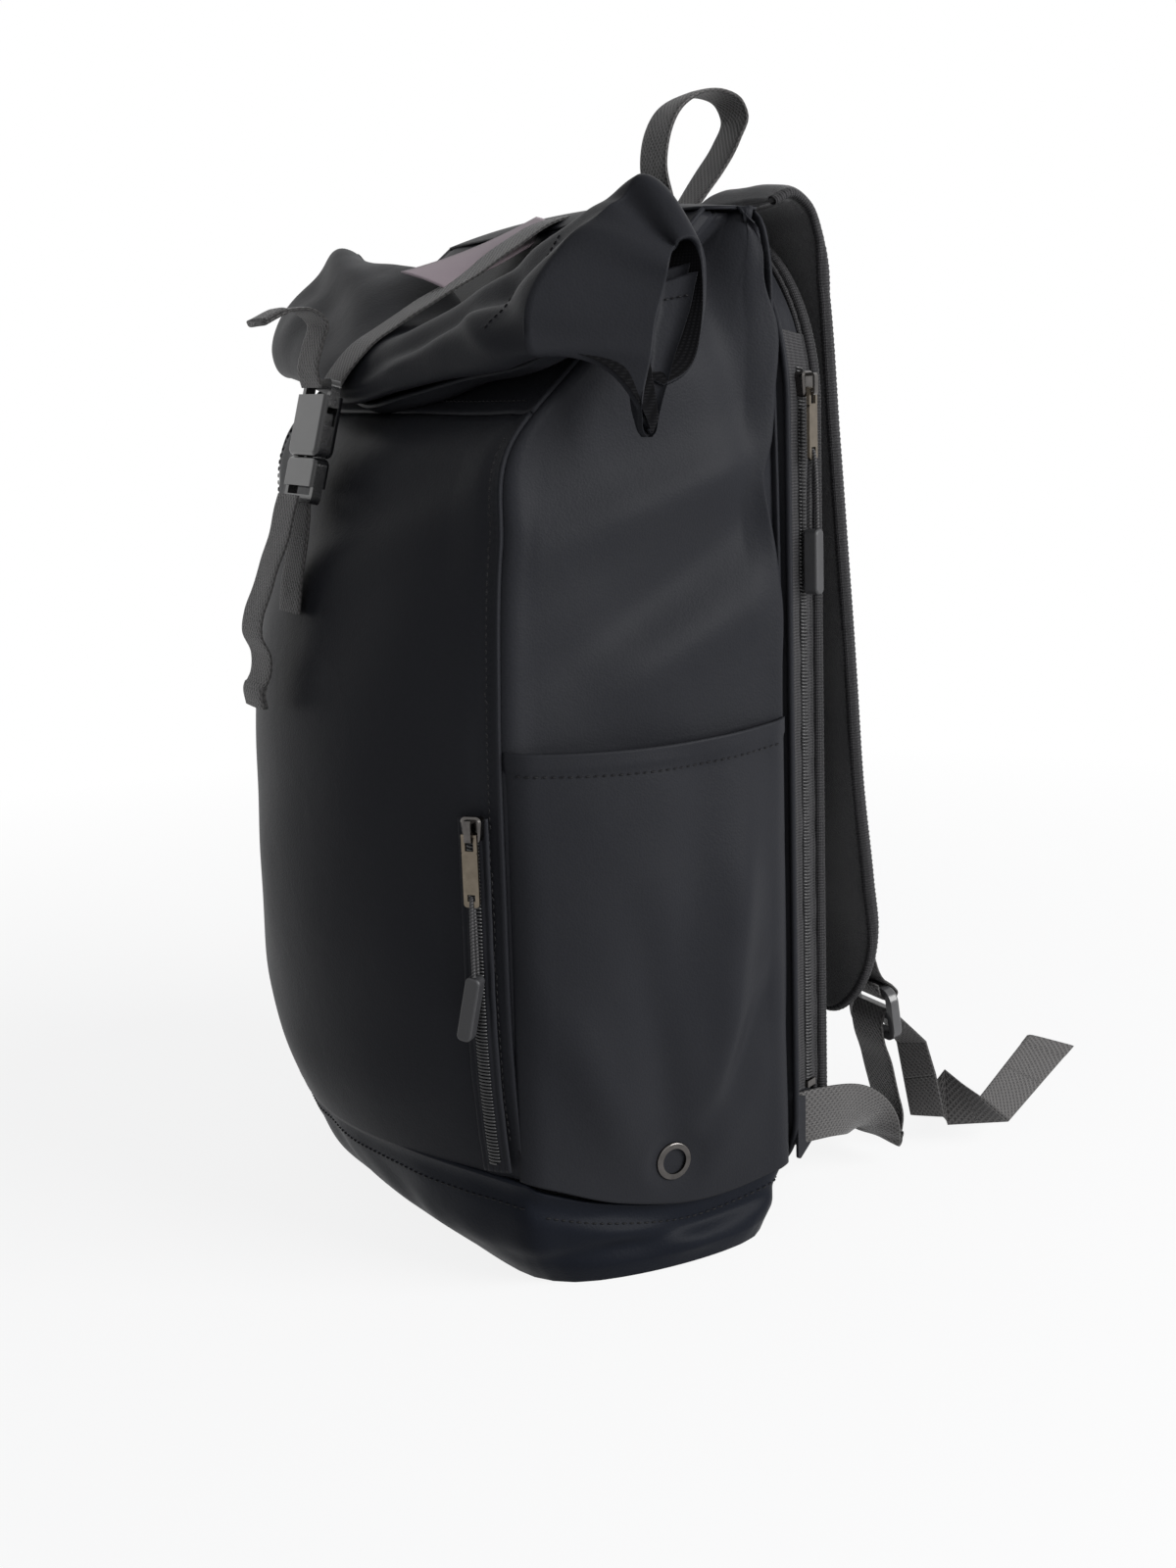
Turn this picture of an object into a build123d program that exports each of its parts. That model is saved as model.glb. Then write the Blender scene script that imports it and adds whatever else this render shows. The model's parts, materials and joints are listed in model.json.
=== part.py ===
"""A roll-top backpack in coated fabric, as separate sub-parts in millimetres.

The bag stands on its base: the origin is the centre of the resting face, +Z is up, the
front faces -Y, the shoulder straps are on +Y, and +X is the side with the long zip.
"""
from build123d import *
import os
from math import atan2, cos, degrees, radians, sin, tan

# ---- body of the bag ---------------------------------------------------------------
body_width = 258.0          # side panel to side panel, at the widest
seam_y = -64.0              # line of the two front seams
front_y = -112.0            # most forward point of the bulging front panel
rear_y = 75.0               # back edge of the side panels
body_height = 452.0         # top of the neck, under the roll
fabric = 1.8                # coated fabric with its backing
lining_thickness = 0.8
seam_gap = 0.2              # between two panels that are sewn together
lay_gap = 0.3               # between a piece and the one that it lies on
corner_radius = 24.0        # where a side turns into the front
rear_corner_radius = 9.0
yoke_height = body_height - 80.0    # seam between the front panel and its yoke
base_seam_front = 54.0      # height of the base panel's seam, at the front
base_seam_side = 29.0       # and where it dips at the middle of each side
base_seam_rear = 36.0

# ---- side pockets ------------------------------------------------------------------
pocket_top = 236.0
pocket_bottom = 40.0
pocket_bulge = 14.0         # how far the pocket's middle stands off the side panel
pocket_front = seam_y + 3.0
pocket_rear = rear_y - 4.0
pocket_fabric = 1.6
eyelet_y = 8.0
eyelet_z = 51.0
eyelet_outer = 17.0         # diameter of the flange
eyelet_bore = 11.5
eyelet_height = 1.4

# ---- laptop compartment and back panel ---------------------------------------------
gusset_rear_y = 98.0
gusset_fabric = 1.8
gusset_inset = 11.0         # how much narrower the compartment is at its back
back_corner_radius = 62.0
compartment_bottom = 20.0
compartment_top = body_height + 4.0
back_foam = 5.0             # thickness of the back panel at its edges
back_bulge = 4.0            # extra thickness at its middle
mesh_thickness = 3.0
mesh_side_inset = 12.0
mesh_bottom = 96.0
mesh_top = compartment_top - 24.0
band_bottom = 182.0
band_top = 236.0
band_thickness = 1.2
binding_width = 4.6
binding_wall = 1.5
binding_clear = 1.4         # round the back panel's edge
laptop_board = (body_width - 62.0, 5.0, compartment_top - 126.0)

# ---- zips --------------------------------------------------------------------------
side_zip_top = compartment_top - 72.0
side_zip_bottom = 69.0
side_zip_y = 86.5
zip_slit = 3.0              # opening behind the coil
tape_width = 19.0
tape_end = 4.5              # tape past each end of the coil
tape_thickness = 0.8
coil_width = 5.2
coil_height = 1.8
front_zip_top = 208.0
front_zip_bottom = 62.0
front_tape_width = 13.0
slider_width = 9.6
slider_length = 11.0
slider_height = 4.4
crown_width = 3.0
crown_height = 3.6
crown_wall = 1.0
pull_bar = 1.8              # diameter of the bar held under the crown
pull_width = 6.8
pull_length = 29.0
pull_thickness = 1.4
cord_diameter = 1.8
cord_loop = 33.0            # from the pull's slot to the grip
grip_length = 28.0
grip_width = 6.6
grip_thickness = 4.6

# ---- rolled mouth ------------------------------------------------------------------
roll_half_length = body_width / 2 + 34.0
roll_wall = 5.0             # two layers of fabric with their stiffener
fold_thickness = 5.0
fold_overhang = 4.0         # how far the inner fold stands out of the roll's ends

# ---- webbing, buckle and handle ----------------------------------------------------
webbing_width = 25.0
webbing_thickness = 1.8
handle_width = 24.0
buckle_width = 34.0
buckle_thickness = 9.0
buckle_female_length = 34.0
buckle_male_length = 20.0
prong_length = 21.0
prong_width = 5.0
buckle_wall = 2.2
fit_gap = 0.35              # between parts that slide in one another

# ---- shoulder straps ---------------------------------------------------------------
strap_thickness = 13.0
strap_width_top = 66.0
strap_width_bottom = 52.0
strap_inner_x = body_width / 2 - 91.0   # inner edge at the top seam
strap_drift = 8.0           # how far the lower end stands further out
lock_width = 36.0           # ladder lock
lock_length = 27.0
lock_thickness = 5.0
lock_bar = 4.0

# ---- levels of the body ------------------------------------------------------------
# height, then how far the side, the seam, the front and the back stand in from their
# widest places: the base is tucked in, the front bulges and the neck leans back
BODY_LEVELS = [
    (0.0, 24.0, 22.0, 55.0, 6.0),
    (14.0, 10.0, 10.0, 35.0, 1.0),
    (42.0, 4.0, 6.0, 19.0, 0.0),
    (100.0, 1.0, 1.0, 4.0, 0.0),
    (180.0, 0.0, 0.0, 0.0, 0.0),
    (body_height - 192.0, 0.0, 1.0, 6.0, 0.0),
    (body_height - 132.0, 1.0, 5.0, 25.0, 0.0),
    (body_height - 90.0, 1.0, 12.0, 46.0, 0.0),
    (body_height - 65.0, 0.0, 36.0, 78.0, 0.0),
    (body_height - 40.0, 0.0, 64.0, 104.0, 0.0),
    (body_height - 18.0, 1.0, 86.0, 126.0, 1.0),
    (body_height, 5.0, 106.0, 146.0, 6.0),
]
WIDE = 400.0                # larger than the bag, for cutting tools


def body_corner(level, inset):
    """Half width, seam, front and back of one level, set in by inset."""
    z, side, seam, front, back = level
    return (
        body_width / 2 - side - inset,
        seam_y + seam + inset,
        front_y + front + inset,
        rear_y - back - inset,
    )


def level_face(level, inset, lift):
    """One horizontal section: straight back, gently bowed sides, bulging front."""
    half, seam, front, back = body_corner(level, inset)
    z = level[0] + lift
    middle = (seam + back) / 2
    bow = 2.0
    with BuildSketch(Plane.XY.offset(z)) as sketch:
        with BuildLine():
            Line((-half, back), (half, back))
            ThreePointArc((half, back), (half + bow, middle), (half, seam))
            ThreePointArc((half, seam), (0, front), (-half, seam))
            ThreePointArc((-half, seam), (-half - bow, middle), (-half, back))
        make_face()
        depth = back - seam
        front_round = min(corner_radius, 0.45 * depth)
        rear_round = min(rear_corner_radius, 0.2 * depth)
        fillet(sketch.vertices().filter_by(lambda v: v.Y < middle), front_round)
        fillet(sketch.vertices().filter_by(lambda v: v.Y > back - 0.1), rear_round)
    return sketch.sketch


def body_form(inset=0.0):
    """The bag's whole outer form, set in by inset on every side."""
    last = len(BODY_LEVELS) - 1
    faces = []
    for i, level in enumerate(BODY_LEVELS):
        lift = inset if i == 0 else -inset if i == last else 0.0
        faces.append(level_face(level, inset, lift))
    return loft(faces)


def prism_x(points, half=WIDE):
    """A shape drawn in Y and Z, run along X to half on each side."""
    with BuildPart() as part:
        with BuildSketch(Plane.YZ.offset(-half)):
            with BuildLine():
                Polyline(*points, close=True)
            make_face()
        extrude(amount=2 * half)
    return part.part


def seam_line(shift):
    """The front seam in Y and Z, from below the base to above the neck."""
    points = [(seam_y + seam + shift, z) for z, side, seam, front, back in BODY_LEVELS]
    return [(points[0][0], -10.0)] + points[1:] + [(points[-1][0], body_height + 10)]


def base_seam_points():
    """The base panel's seam in Y and Z: high in front, lowest at the side's middle."""
    middle = (seam_y + rear_y) / 2
    return [
        (front_y - 20, base_seam_front),
        (seam_y, base_seam_front),
        (middle - 25, (base_seam_front + 2 * base_seam_side) / 3),
        (middle + 15, base_seam_side),
        (rear_y + 20, base_seam_rear),
    ]


def below_base_seam(shift):
    """Everything below the base seam, as a cutting tool."""
    seam = [(y, z + shift) for y, z in base_seam_points()]
    return prism_x([(seam[0][0], -20)] + seam + [(seam[-1][0], -20)])


def body_panels():
    """Front, yoke, sides, rear wall and base, cut from one skin along the seams."""
    skin = body_form() - body_form(fabric)
    half_gap = seam_gap / 2
    high = body_height + 20
    front_side = [(front_y - 30, -30), (front_y - 30, high)]
    rear_side = [(rear_y + 30, -30), (rear_y + 30, high)]
    in_front = prism_x(front_side + list(reversed(seam_line(-half_gap))))
    behind = prism_x(rear_side + list(reversed(seam_line(half_gap))))
    rear_cut = rear_y - fabric - 6.5
    rear_zone = Pos(0, rear_cut + half_gap + WIDE / 2, 0) * Box(2 * WIDE, WIDE, 3 * WIDE)
    side_zone = Pos(0, rear_cut - half_gap - WIDE / 2, 0) * Box(2 * WIDE, WIDE, 3 * WIDE)
    base_zone = below_base_seam(-half_gap)
    over_base = skin - below_base_seam(half_gap)
    lower = Pos(0, 0, yoke_height - half_gap - WIDE / 2) * Box(2 * WIDE, 2 * WIDE, WIDE)
    upper = Pos(0, 0, yoke_height + half_gap + WIDE / 2) * Box(2 * WIDE, 2 * WIDE, WIDE)
    cap_z = body_height - fabric - 1.0
    under_cap = Pos(0, 0, cap_z - half_gap - WIDE) * Box(2 * WIDE, 2 * WIDE, 2 * WIDE)
    cap = Pos(0, 0, cap_z + half_gap + WIDE / 2) * Box(2 * WIDE, 2 * WIDE, WIDE)
    wall = over_base & under_cap
    front = wall & in_front
    rest = wall & behind
    sides = rest & side_zone
    right = Pos(WIDE / 2, 0, 0) * Box(WIDE, 2 * WIDE, 3 * WIDE)
    return {
        "front_panel": front & lower,
        "yoke_panel": front & upper,
        "side_panel_right": sides & right,
        "side_panel_left": sides - right,
        "rear_wall": rest & rear_zone,
        "neck_cover": over_base & cap,
        "base_panel": skin & base_zone,
    }


def main_lining():
    """The thin bag inside the panels, closed where the mouth is rolled up."""
    outside = fabric + lay_gap
    return body_form(outside) - body_form(outside + lining_thickness)


# ---- helpers -----------------------------------------------------------------------
def mirrored(shape):
    """The same piece for the other side."""
    return mirror(shape, about=Plane.YZ)


def slab(center, size):
    """An upright box, for cutting."""
    return Pos(*center) * Box(*size)


def reach_x(shape, y, z):
    """How far out in X a shape goes at one place."""
    return (shape & slab((0, y, z), (2 * WIDE, 0.2, 0.2))).bounding_box().max.X


def outward_frame(origin, turn):
    """A frame on an upright surface: x across, y up and z out, turned from +X towards +Y."""
    out = Vector(cos(radians(turn)), sin(radians(turn)), 0)
    return Plane(origin=origin, x_dir=Vector(-out.Y, out.X, 0), z_dir=out).location


def corner_radii(points):
    """The largest tangent arcs that a path's runs allow, and tight ones round a bar."""
    radii = []
    tight = webbing_thickness / 2 + 2 * lay_gap
    for before, corner, after in zip(points, points[1:], points[2:]):
        first = Vector(*corner) - Vector(*before)
        second = Vector(*after) - Vector(*corner)
        turn = radians(first.get_angle(second))
        run = min(first.length, second.length)
        radius = 0.45 * run / tan(turn / 2)
        radii.append(min(radius, tight) if run < 2 * lock_leg + 0.1 else radius)
    return radii


def band(points, width, thickness, x=0.0):
    """Webbing along a path in Y and Z, its width along X and centred on x."""
    route = [(x, y, z) for y, z in points]
    path = FilletPolyline(*route, radius=corner_radii(route))
    start = Plane(origin=route[0], x_dir=(1, 0, 0), z_dir=path % 0)
    return sweep(start * Rectangle(width, thickness), path=path)


def ribbon(stations, width, thickness):
    """Webbing that twists: each station is a centre, a width direction and a heading."""
    faces = [
        Plane(origin=center, x_dir=across, z_dir=heading) * Rectangle(width, thickness)
        for center, across, heading in stations
    ]
    return loft(faces, ruled=True)


def round_rect_y(y, half, low, high, top_radius, bottom_radius):
    """A rounded rectangle in X and Z, standing at y."""
    middle = (low + high) / 2
    with BuildSketch(Plane(origin=(0, y, middle), x_dir=(1, 0, 0), z_dir=(0, 1, 0))) as sketch:
        Rectangle(2 * half, high - low)
        top = sketch.vertices().filter_by(lambda v: v.Z > middle)
        bottom = sketch.vertices().filter_by(lambda v: v.Z < middle)
        fillet(top, top_radius)
        fillet(bottom, bottom_radius)
    return sketch.sketch


# ---- side pocket -------------------------------------------------------------------
# height, then how far the pocket's middle stands off the widest part of the side
POCKET_LEVELS = [
    (20.0, 3.0),
    (48.0, 5.5),
    (90.0, pocket_bulge - 2.0),
    (150.0, pocket_bulge),
    (pocket_top, pocket_bulge - 3.0),
]


def pocket_lens(inset, margin, low_cut):
    """The bulging form of a side pocket, set in by inset and short of its ends by margin."""
    root = body_width / 2 + lay_gap + pocket_fabric - inset
    front = pocket_front + margin
    rear = pocket_rear - margin
    faces = []
    for z, bulge in POCKET_LEVELS:
        with BuildSketch(Plane.XY.offset(z)) as sketch:
            with BuildLine():
                ThreePointArc(
                    (root, front),
                    (body_width / 2 + bulge + pocket_fabric - inset, (front + rear) / 2),
                    (root, rear),
                )
                Polyline((root, rear), (root - 30, rear), (root - 30, front), (root, front))
            make_face()
        faces.append(sketch.sketch)
    lens = loft(faces) - below_base_seam(low_cut)
    return lens


def side_pocket(body):
    """The pocket's wall, its seat on the side panel and the hole for its eyelet."""
    form = pocket_lens(0.0, 0.0, seam_gap / 2)
    cavity = pocket_lens(pocket_fabric, 2 * pocket_fabric, 4.0)
    cavity = cavity + Pos(0, 0, 1.0) * cavity
    wall = form - cavity - body
    seat = reach_x(form, eyelet_y, eyelet_z) - eyelet_height / 2
    place = Pos(seat, eyelet_y, eyelet_z) * Rot(0, 90, 0)
    flat = place * Cylinder(eyelet_outer / 2 + fit_gap, 20, align=(Align.CENTER, Align.CENTER, Align.MIN))
    hole = place * Cylinder(eyelet_bore / 2 + 1.2, 12)
    return wall - flat - hole, seat


def eyelet(seat):
    """A drain eyelet: a rolled flange outside the pocket and a short barrel through it."""
    place = Pos(seat + 0.05, eyelet_y, eyelet_z) * Rot(0, 90, 0)
    up = (Align.CENTER, Align.CENTER, Align.MIN)
    flange = Cylinder(eyelet_outer / 2, eyelet_height, align=up)
    flange = fillet(flange.edges().sort_by(Axis.Z)[-1], eyelet_height * 0.6)
    barrel = Pos(0, 0, -pocket_fabric) * Cylinder(eyelet_bore / 2 + 0.8, pocket_fabric, align=up)
    bore = Cylinder(eyelet_bore / 2, 12)
    return place * (flange + barrel - bore)


# ---- laptop compartment ------------------------------------------------------------
gusset_front_y = rear_y + lay_gap
gusset_half = body_width / 2 - 1.0
gusset_depth = gusset_rear_y - gusset_front_y
gusset_turn = degrees(atan2(gusset_inset, gusset_depth))


def gusset_outline(y, inset):
    """The compartment's outline at y, narrower towards the back."""
    taper = gusset_inset * (y - gusset_front_y) / gusset_depth
    half = gusset_half - taper - inset
    low = compartment_bottom + taper + inset
    high = compartment_top - taper - inset
    return round_rect_y(y, half, low, high, back_corner_radius - taper - inset, 34.0 - taper - inset)


def gusset_face_x(y):
    """Where the compartment's flat side lies."""
    return gusset_half - gusset_inset * (y - gusset_front_y) / gusset_depth


def laptop_gusset():
    """The compartment's wall, with the slit that the side zip closes."""
    outer = loft([gusset_outline(y, 0.0) for y in (gusset_front_y, gusset_rear_y)])
    inner = loft([gusset_outline(y, gusset_fabric) for y in (gusset_front_y - 1, gusset_rear_y + 1)])
    slit_length = side_zip_top - side_zip_bottom
    middle = (side_zip_top + side_zip_bottom) / 2
    slit = slab((gusset_half, side_zip_y, middle), (40, zip_slit, slit_length))
    return outer - inner - slit


def divider_board():
    """The padded board between the main bag and the laptop."""
    width, thickness, height = laptop_board
    low = compartment_bottom + gusset_inset + 9.0
    middle = (0, gusset_front_y + lay_gap + thickness / 2, low + height / 2)
    board = slab(middle, (width, thickness, height))
    return fillet(board.edges().filter_by(Axis.Y), 12.0)


binding_low_radius = 23.0
back_start = gusset_rear_y + lay_gap
back_half = gusset_half - gusset_inset - 1.0
back_low = compartment_bottom + gusset_inset + 1.0
back_high = compartment_top - gusset_inset - 1.0
# height up the back panel, as a share, and how much of the bulge it has there
BACK_PROFILE = [(0.0, -0.55), (0.12, 0.0), (0.35, 0.75), (0.6, 1.0), (0.85, 0.45), (1.0, -0.3)]


def back_profile(lift):
    """The back panel's outer line in Y and Z, raised by lift."""
    tall = back_high - back_low
    return [(back_start + back_foam + back_bulge * b + lift, back_low + tall * a) for a, b in BACK_PROFILE]


def back_layer(inner, outer, half, low, high, radius):
    """A layer that follows the back panel's curve between two lifts from its face."""
    bottom = (back_start, back_low) if inner is None else None
    with BuildPart() as part:
        with BuildSketch(Plane.YZ.offset(-half)):
            with BuildLine():
                outside = Spline(*back_profile(outer))
                if bottom:
                    Polyline(outside @ 1, (back_start, back_high), bottom, outside @ 0)
                else:
                    inside = Spline(*back_profile(inner))
                    Line(outside @ 1, inside @ 1)
                    Line(outside @ 0, inside @ 0)
            make_face()
        extrude(amount=2 * half)
    outline = extrude(round_rect_y(back_start - 5, half, low, high, radius, 26.0), 40.0)
    return part.part & outline


def back_panel():
    """Foam and fabric against the wearer's back."""
    return back_layer(None, 0.0, back_half, back_low, back_high, back_corner_radius - gusset_inset)


def back_mesh():
    """Thick air mesh over the foam."""
    low = lay_gap
    half = back_half - mesh_side_inset
    return back_layer(low, low + mesh_thickness, half, mesh_bottom, mesh_top, 46.0)


def back_band():
    """A smooth strip sewn across the mesh."""
    low = lay_gap + mesh_thickness + lay_gap
    half = back_half - mesh_side_inset
    strip = back_layer(low, low + band_thickness, half, mesh_bottom, mesh_top, 46.0)
    middle = (band_bottom + band_top) / 2
    return strip & slab((0, back_start + 10, middle), (WIDE, 80, band_top - band_bottom))


def rear_binding():
    """The bound edge that joins the compartment to the back panel."""
    y = gusset_rear_y - binding_width / 2
    rings = []
    for grow in (binding_clear + binding_wall, binding_clear):
        rings.append(round_rect_y(
            y,
            gusset_half - gusset_inset + grow,
            compartment_bottom + gusset_inset - grow,
            compartment_top - gusset_inset + grow,
            back_corner_radius - gusset_inset + grow,
            binding_low_radius + grow,
        ))
    return extrude(rings[0] - rings[1], binding_width)


# ---- zips --------------------------------------------------------------------------
tape_top = lay_gap + tape_thickness
coil_top = tape_top + coil_height
slider_base = tape_top + lay_gap
slider_top = slider_base + slider_height
bar_v = -2.0                                  # bar of the pull, along the slider
bar_n = slider_top + (crown_height - crown_wall) / 2
slot_v = bar_v - pull_length + 3.4            # slot in the pull's lower end
cord_side = 2.0                               # how far each strand of the loop lies from the pull
cord_bend = cord_side - 0.2                   # radius of the cord's middle line in the pull's slot
grip_v = slot_v - cord_loop                   # top of the grip


def side_zip_frame(z):
    """The frame of the side zip at height z, on the compartment's sloping side."""
    return outward_frame((gusset_face_x(side_zip_y), side_zip_y, z), gusset_turn)


def slider():
    """A zip slider: tapered body, channel for the coil and crown over the pull's bar."""
    half = slider_width / 2
    with BuildSketch(Plane.XY.offset(slider_base)) as sketch:
        Polygon(
            (-half, slider_length / 2), (half, slider_length / 2),
            (half * 0.72, -slider_length / 2), (-half * 0.72, -slider_length / 2), align=None,
        )
        fillet(sketch.vertices(), 2.2)
    body = extrude(sketch.sketch, slider_height)
    rim = body.faces().sort_by(Axis.Z)[-1].edges()
    body = chamfer(rim, 0.8)
    channel_height = coil_top - slider_base + fit_gap
    channel = Pos(0, 0, slider_base + channel_height / 2) * Box(
        coil_width + 2 * fit_gap, slider_length + 2, channel_height)
    with BuildSketch(Plane.YZ.offset(-crown_width / 2)) as arch:
        with Locations((0, slider_top + crown_height / 2 - 0.3)):
            RectangleRounded(slider_length - 1.5, crown_height + 0.6, 1.6)
        with Locations((0, slider_top + (crown_height - crown_wall) / 2)):
            Rectangle(slider_length - 4.4, crown_height - crown_wall, mode=Mode.SUBTRACT)
    return body - channel + extrude(arch.sketch, crown_width) - channel


def zip_pull():
    """The flat pull: a bar under the crown, two rails, a plate and a slot for the cord."""
    rail = (pull_width - crown_width - 2 * fit_gap) / 2
    rail_x = (pull_width - rail) / 2
    rail_length = 6.6
    bar = Pos(0, bar_v, bar_n) * Rot(0, 90, 0) * Cylinder(pull_bar / 2, pull_width)
    plate_length = pull_length - rail_length
    plate_middle = bar_v - rail_length - plate_length / 2
    plate = Pos(0, plate_middle, bar_n) * Box(pull_width, plate_length + 1.0, pull_thickness)
    plate = fillet(plate.edges().filter_by(Axis.Z), 1.5)
    shape = bar + plate
    for side in (-1, 1):
        at = Pos(side * rail_x, bar_v - rail_length / 2 + 0.35, bar_n)
        shape += at * Box(rail, rail_length + 0.7, pull_thickness)
    slot = Pos(0, slot_v, bar_n) * Box(3.4, cord_diameter + 1.0, 4)
    return shape - slot


def cord_route():
    """The loop of cord: up one side, through the pull's slot and down the other."""
    return [
        (0, grip_v, bar_n + cord_side),
        (0, slot_v, bar_n + cord_side),
        (0, slot_v, bar_n - cord_side),
        (0, grip_v, bar_n - cord_side),
    ]


def pull_cord():
    """The cord as a plain tube."""
    route = cord_route()
    path = FilletPolyline(*route, radius=cord_bend)
    start = Plane(origin=route[0], x_dir=(1, 0, 0), z_dir=(0, 1, 0))
    return sweep(start * Circle(cord_diameter / 2), path=path)


def cord_grip(lean):
    """The rubber grip moulded on the cord's two ends, leaning sideways by some degrees."""
    depth = 2 * cord_side + cord_diameter + 1.2
    body = Box(grip_width, grip_length, depth, align=(Align.CENTER, Align.MAX, Align.CENTER))
    body = fillet(body.edges().filter_by(Axis.Z), 2.4)
    body = fillet(body.edges().filter_by(Axis.Y), 1.2)
    return Pos(0, grip_v - 0.2, bar_n) * Rot(0, 0, lean) * body


def side_zip_tape():
    """Woven tape on each side of the slit."""
    length = side_zip_top - side_zip_bottom + 2 * tape_end
    middle = (side_zip_top + side_zip_bottom) / 2
    strip = Pos(0, 0, lay_gap + tape_thickness / 2) * Box(tape_width, length, tape_thickness)
    return side_zip_frame(middle) * strip


def side_zip_coil():
    """The closed coil, as one rounded strip."""
    length = side_zip_top - side_zip_bottom
    middle = (side_zip_top + side_zip_bottom) / 2
    strip = Pos(0, 0, tape_top + coil_height / 2) * Box(coil_width, length, coil_height)
    strip = chamfer(strip.edges().filter_by(Axis.Y).sort_by(Axis.Z)[-2:], 0.6)
    return side_zip_frame(middle) * strip


def zip_stop():
    """A metal stop across the lower end of the side zip's coil."""
    stop = Pos(0, -2.2, tape_top + 1.2) * Box(coil_width + 1.6, 3.0, 2.4)
    return side_zip_frame(side_zip_bottom) * stop


front_zip_turn = -48.0
front_zip_y = seam_y - 7.0
front_lift = 1.2            # the front zip's slider stands this much further off


def front_strip(x, width, low, high, inner, outer):
    """A strip along the front zip that follows the bag's surface between two heights off it."""
    height = high - low
    zone = outward_frame((x, front_zip_y, (high + low) / 2), front_zip_turn) * Box(width, height, 44)
    return (body_form(-outer) - body_form(-inner)) & zone


def front_zip_frame(x):
    """The frame of the front zip's slider, at the top of its travel."""
    out = Vector(cos(radians(front_zip_turn)), sin(radians(front_zip_turn)), 0)
    origin = Vector(x, front_zip_y, front_zip_top) + out * front_lift
    return outward_frame(origin, front_zip_turn)


# ---- rolled mouth ------------------------------------------------------------------
# for each station along X: the middle in Y and Z, the length and thickness of the flattened
# roll, and how steeply it stands: it hangs at the ends and is pulled forward in the middle
ROLL_STATIONS = [
    (roll_half_length, 2.0, body_height - 40.0, 98.0, 38.0, 90.0),
    (0.785 * roll_half_length, -16.0, body_height - 40.0, 92.0, 36.0, 62.0),
    (0.43 * roll_half_length, -34.0, body_height - 46.0, 90.0, 32.0, 45.0),
    (0.0, -36.0, body_height - 58.0, 82.0, 28.0, 30.0),
]


def roll_loft(trim, grow_length, slide):
    """The roll as one form, thinner by trim all round and slid along its own length."""
    left = [(-x, *rest) for x, *rest in ROLL_STATIONS[:-1]]
    faces = []
    for x, y, z, length, thickness, steep in left + ROLL_STATIONS[::-1]:
        reach = x + (grow_length if x > 0 else -grow_length) if abs(x) == roll_half_length else x
        y = y + slide * cos(radians(steep))
        z = z + slide * sin(radians(steep))
        with BuildSketch(Plane.YZ.offset(reach)) as sketch:
            with Locations((y, z)):
                SlotOverall(length - 2 * trim, thickness - 2 * trim, rotation=steep)
        faces.append(sketch.sketch)
    return loft(faces)


def roll_top(body):
    """The outer wrap of the rolled mouth, open at both ends."""
    shape = roll_loft(0.0, 0.0, 0.0) - roll_loft(roll_wall, 1.0, 0.0) - body
    return shape.solids().sort_by(SortBy.VOLUME)[-1]


def mouth_fold(around):
    """The stiffened mouth itself, folded over inside the roll."""
    thin = 9.0
    drop = -(thin - roll_wall) + 0.4
    outer = roll_loft(thin, fold_overhang, drop)
    slit = roll_loft(thin + 3.4, fold_overhang + 1.0, drop + 5.0)
    shape = outer - slit - around
    return shape.solids().sort_by(SortBy.VOLUME)[-1]


# ---- closing strap and buckle ------------------------------------------------------
buckle_y = -79.0
buckle_z = body_height - 65.0
buckle_lean = 15.0          # degrees the buckle leans forward from upright
buckle_frame = Plane(
    origin=(0, buckle_y, buckle_z),
    x_dir=(1, 0, 0),
    z_dir=(0, -cos(radians(buckle_lean)), sin(radians(buckle_lean))),
).location
bar_depth = 4.4             # thickness of the bars that webbing goes round
bar_height = 3.6
web_slot = 2 * lay_gap + webbing_thickness + 1.2


def buckle_point(v, n):
    """Y and Z of a point v down the buckle and n out from its middle."""
    lean = radians(buckle_lean)
    return (buckle_y - v * sin(lean) - n * cos(lean), buckle_z - v * cos(lean) + n * sin(lean))


def buckle_female():
    """The socket: a bar for the webbing, a mouth at the bottom and open sides."""
    body = Pos(0, -buckle_female_length / 2, 0) * Box(buckle_width, buckle_female_length, buckle_thickness)
    body = fillet(body.edges().filter_by(Axis.Z), 4.0)
    body = fillet(body.edges().filter_by(Axis.Y), 2.0)
    ladder = bar_height + web_slot + 2.0
    thin = Box(buckle_width + 2, ladder - 2.0, buckle_thickness)
    for side in (-1, 1):
        at = Pos(0, -(ladder - 2.0) / 2, side * (buckle_thickness / 2 + bar_depth / 2))
        body -= at * thin
    slot = Pos(0, -bar_height - web_slot / 2, 0) * Box(webbing_width + 2.0, web_slot, 20)
    depth = buckle_female_length - ladder
    mouth = Pos(0, -ladder - depth / 2, 0) * Box(
        buckle_width - 2 * buckle_wall, depth + 0.01, buckle_thickness - 2 * buckle_wall)
    window = Pos(0, -ladder - 7.0, 0) * Box(buckle_width + 2, 8.0, buckle_thickness - 2 * buckle_wall)
    return body - slot - mouth - window


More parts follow.
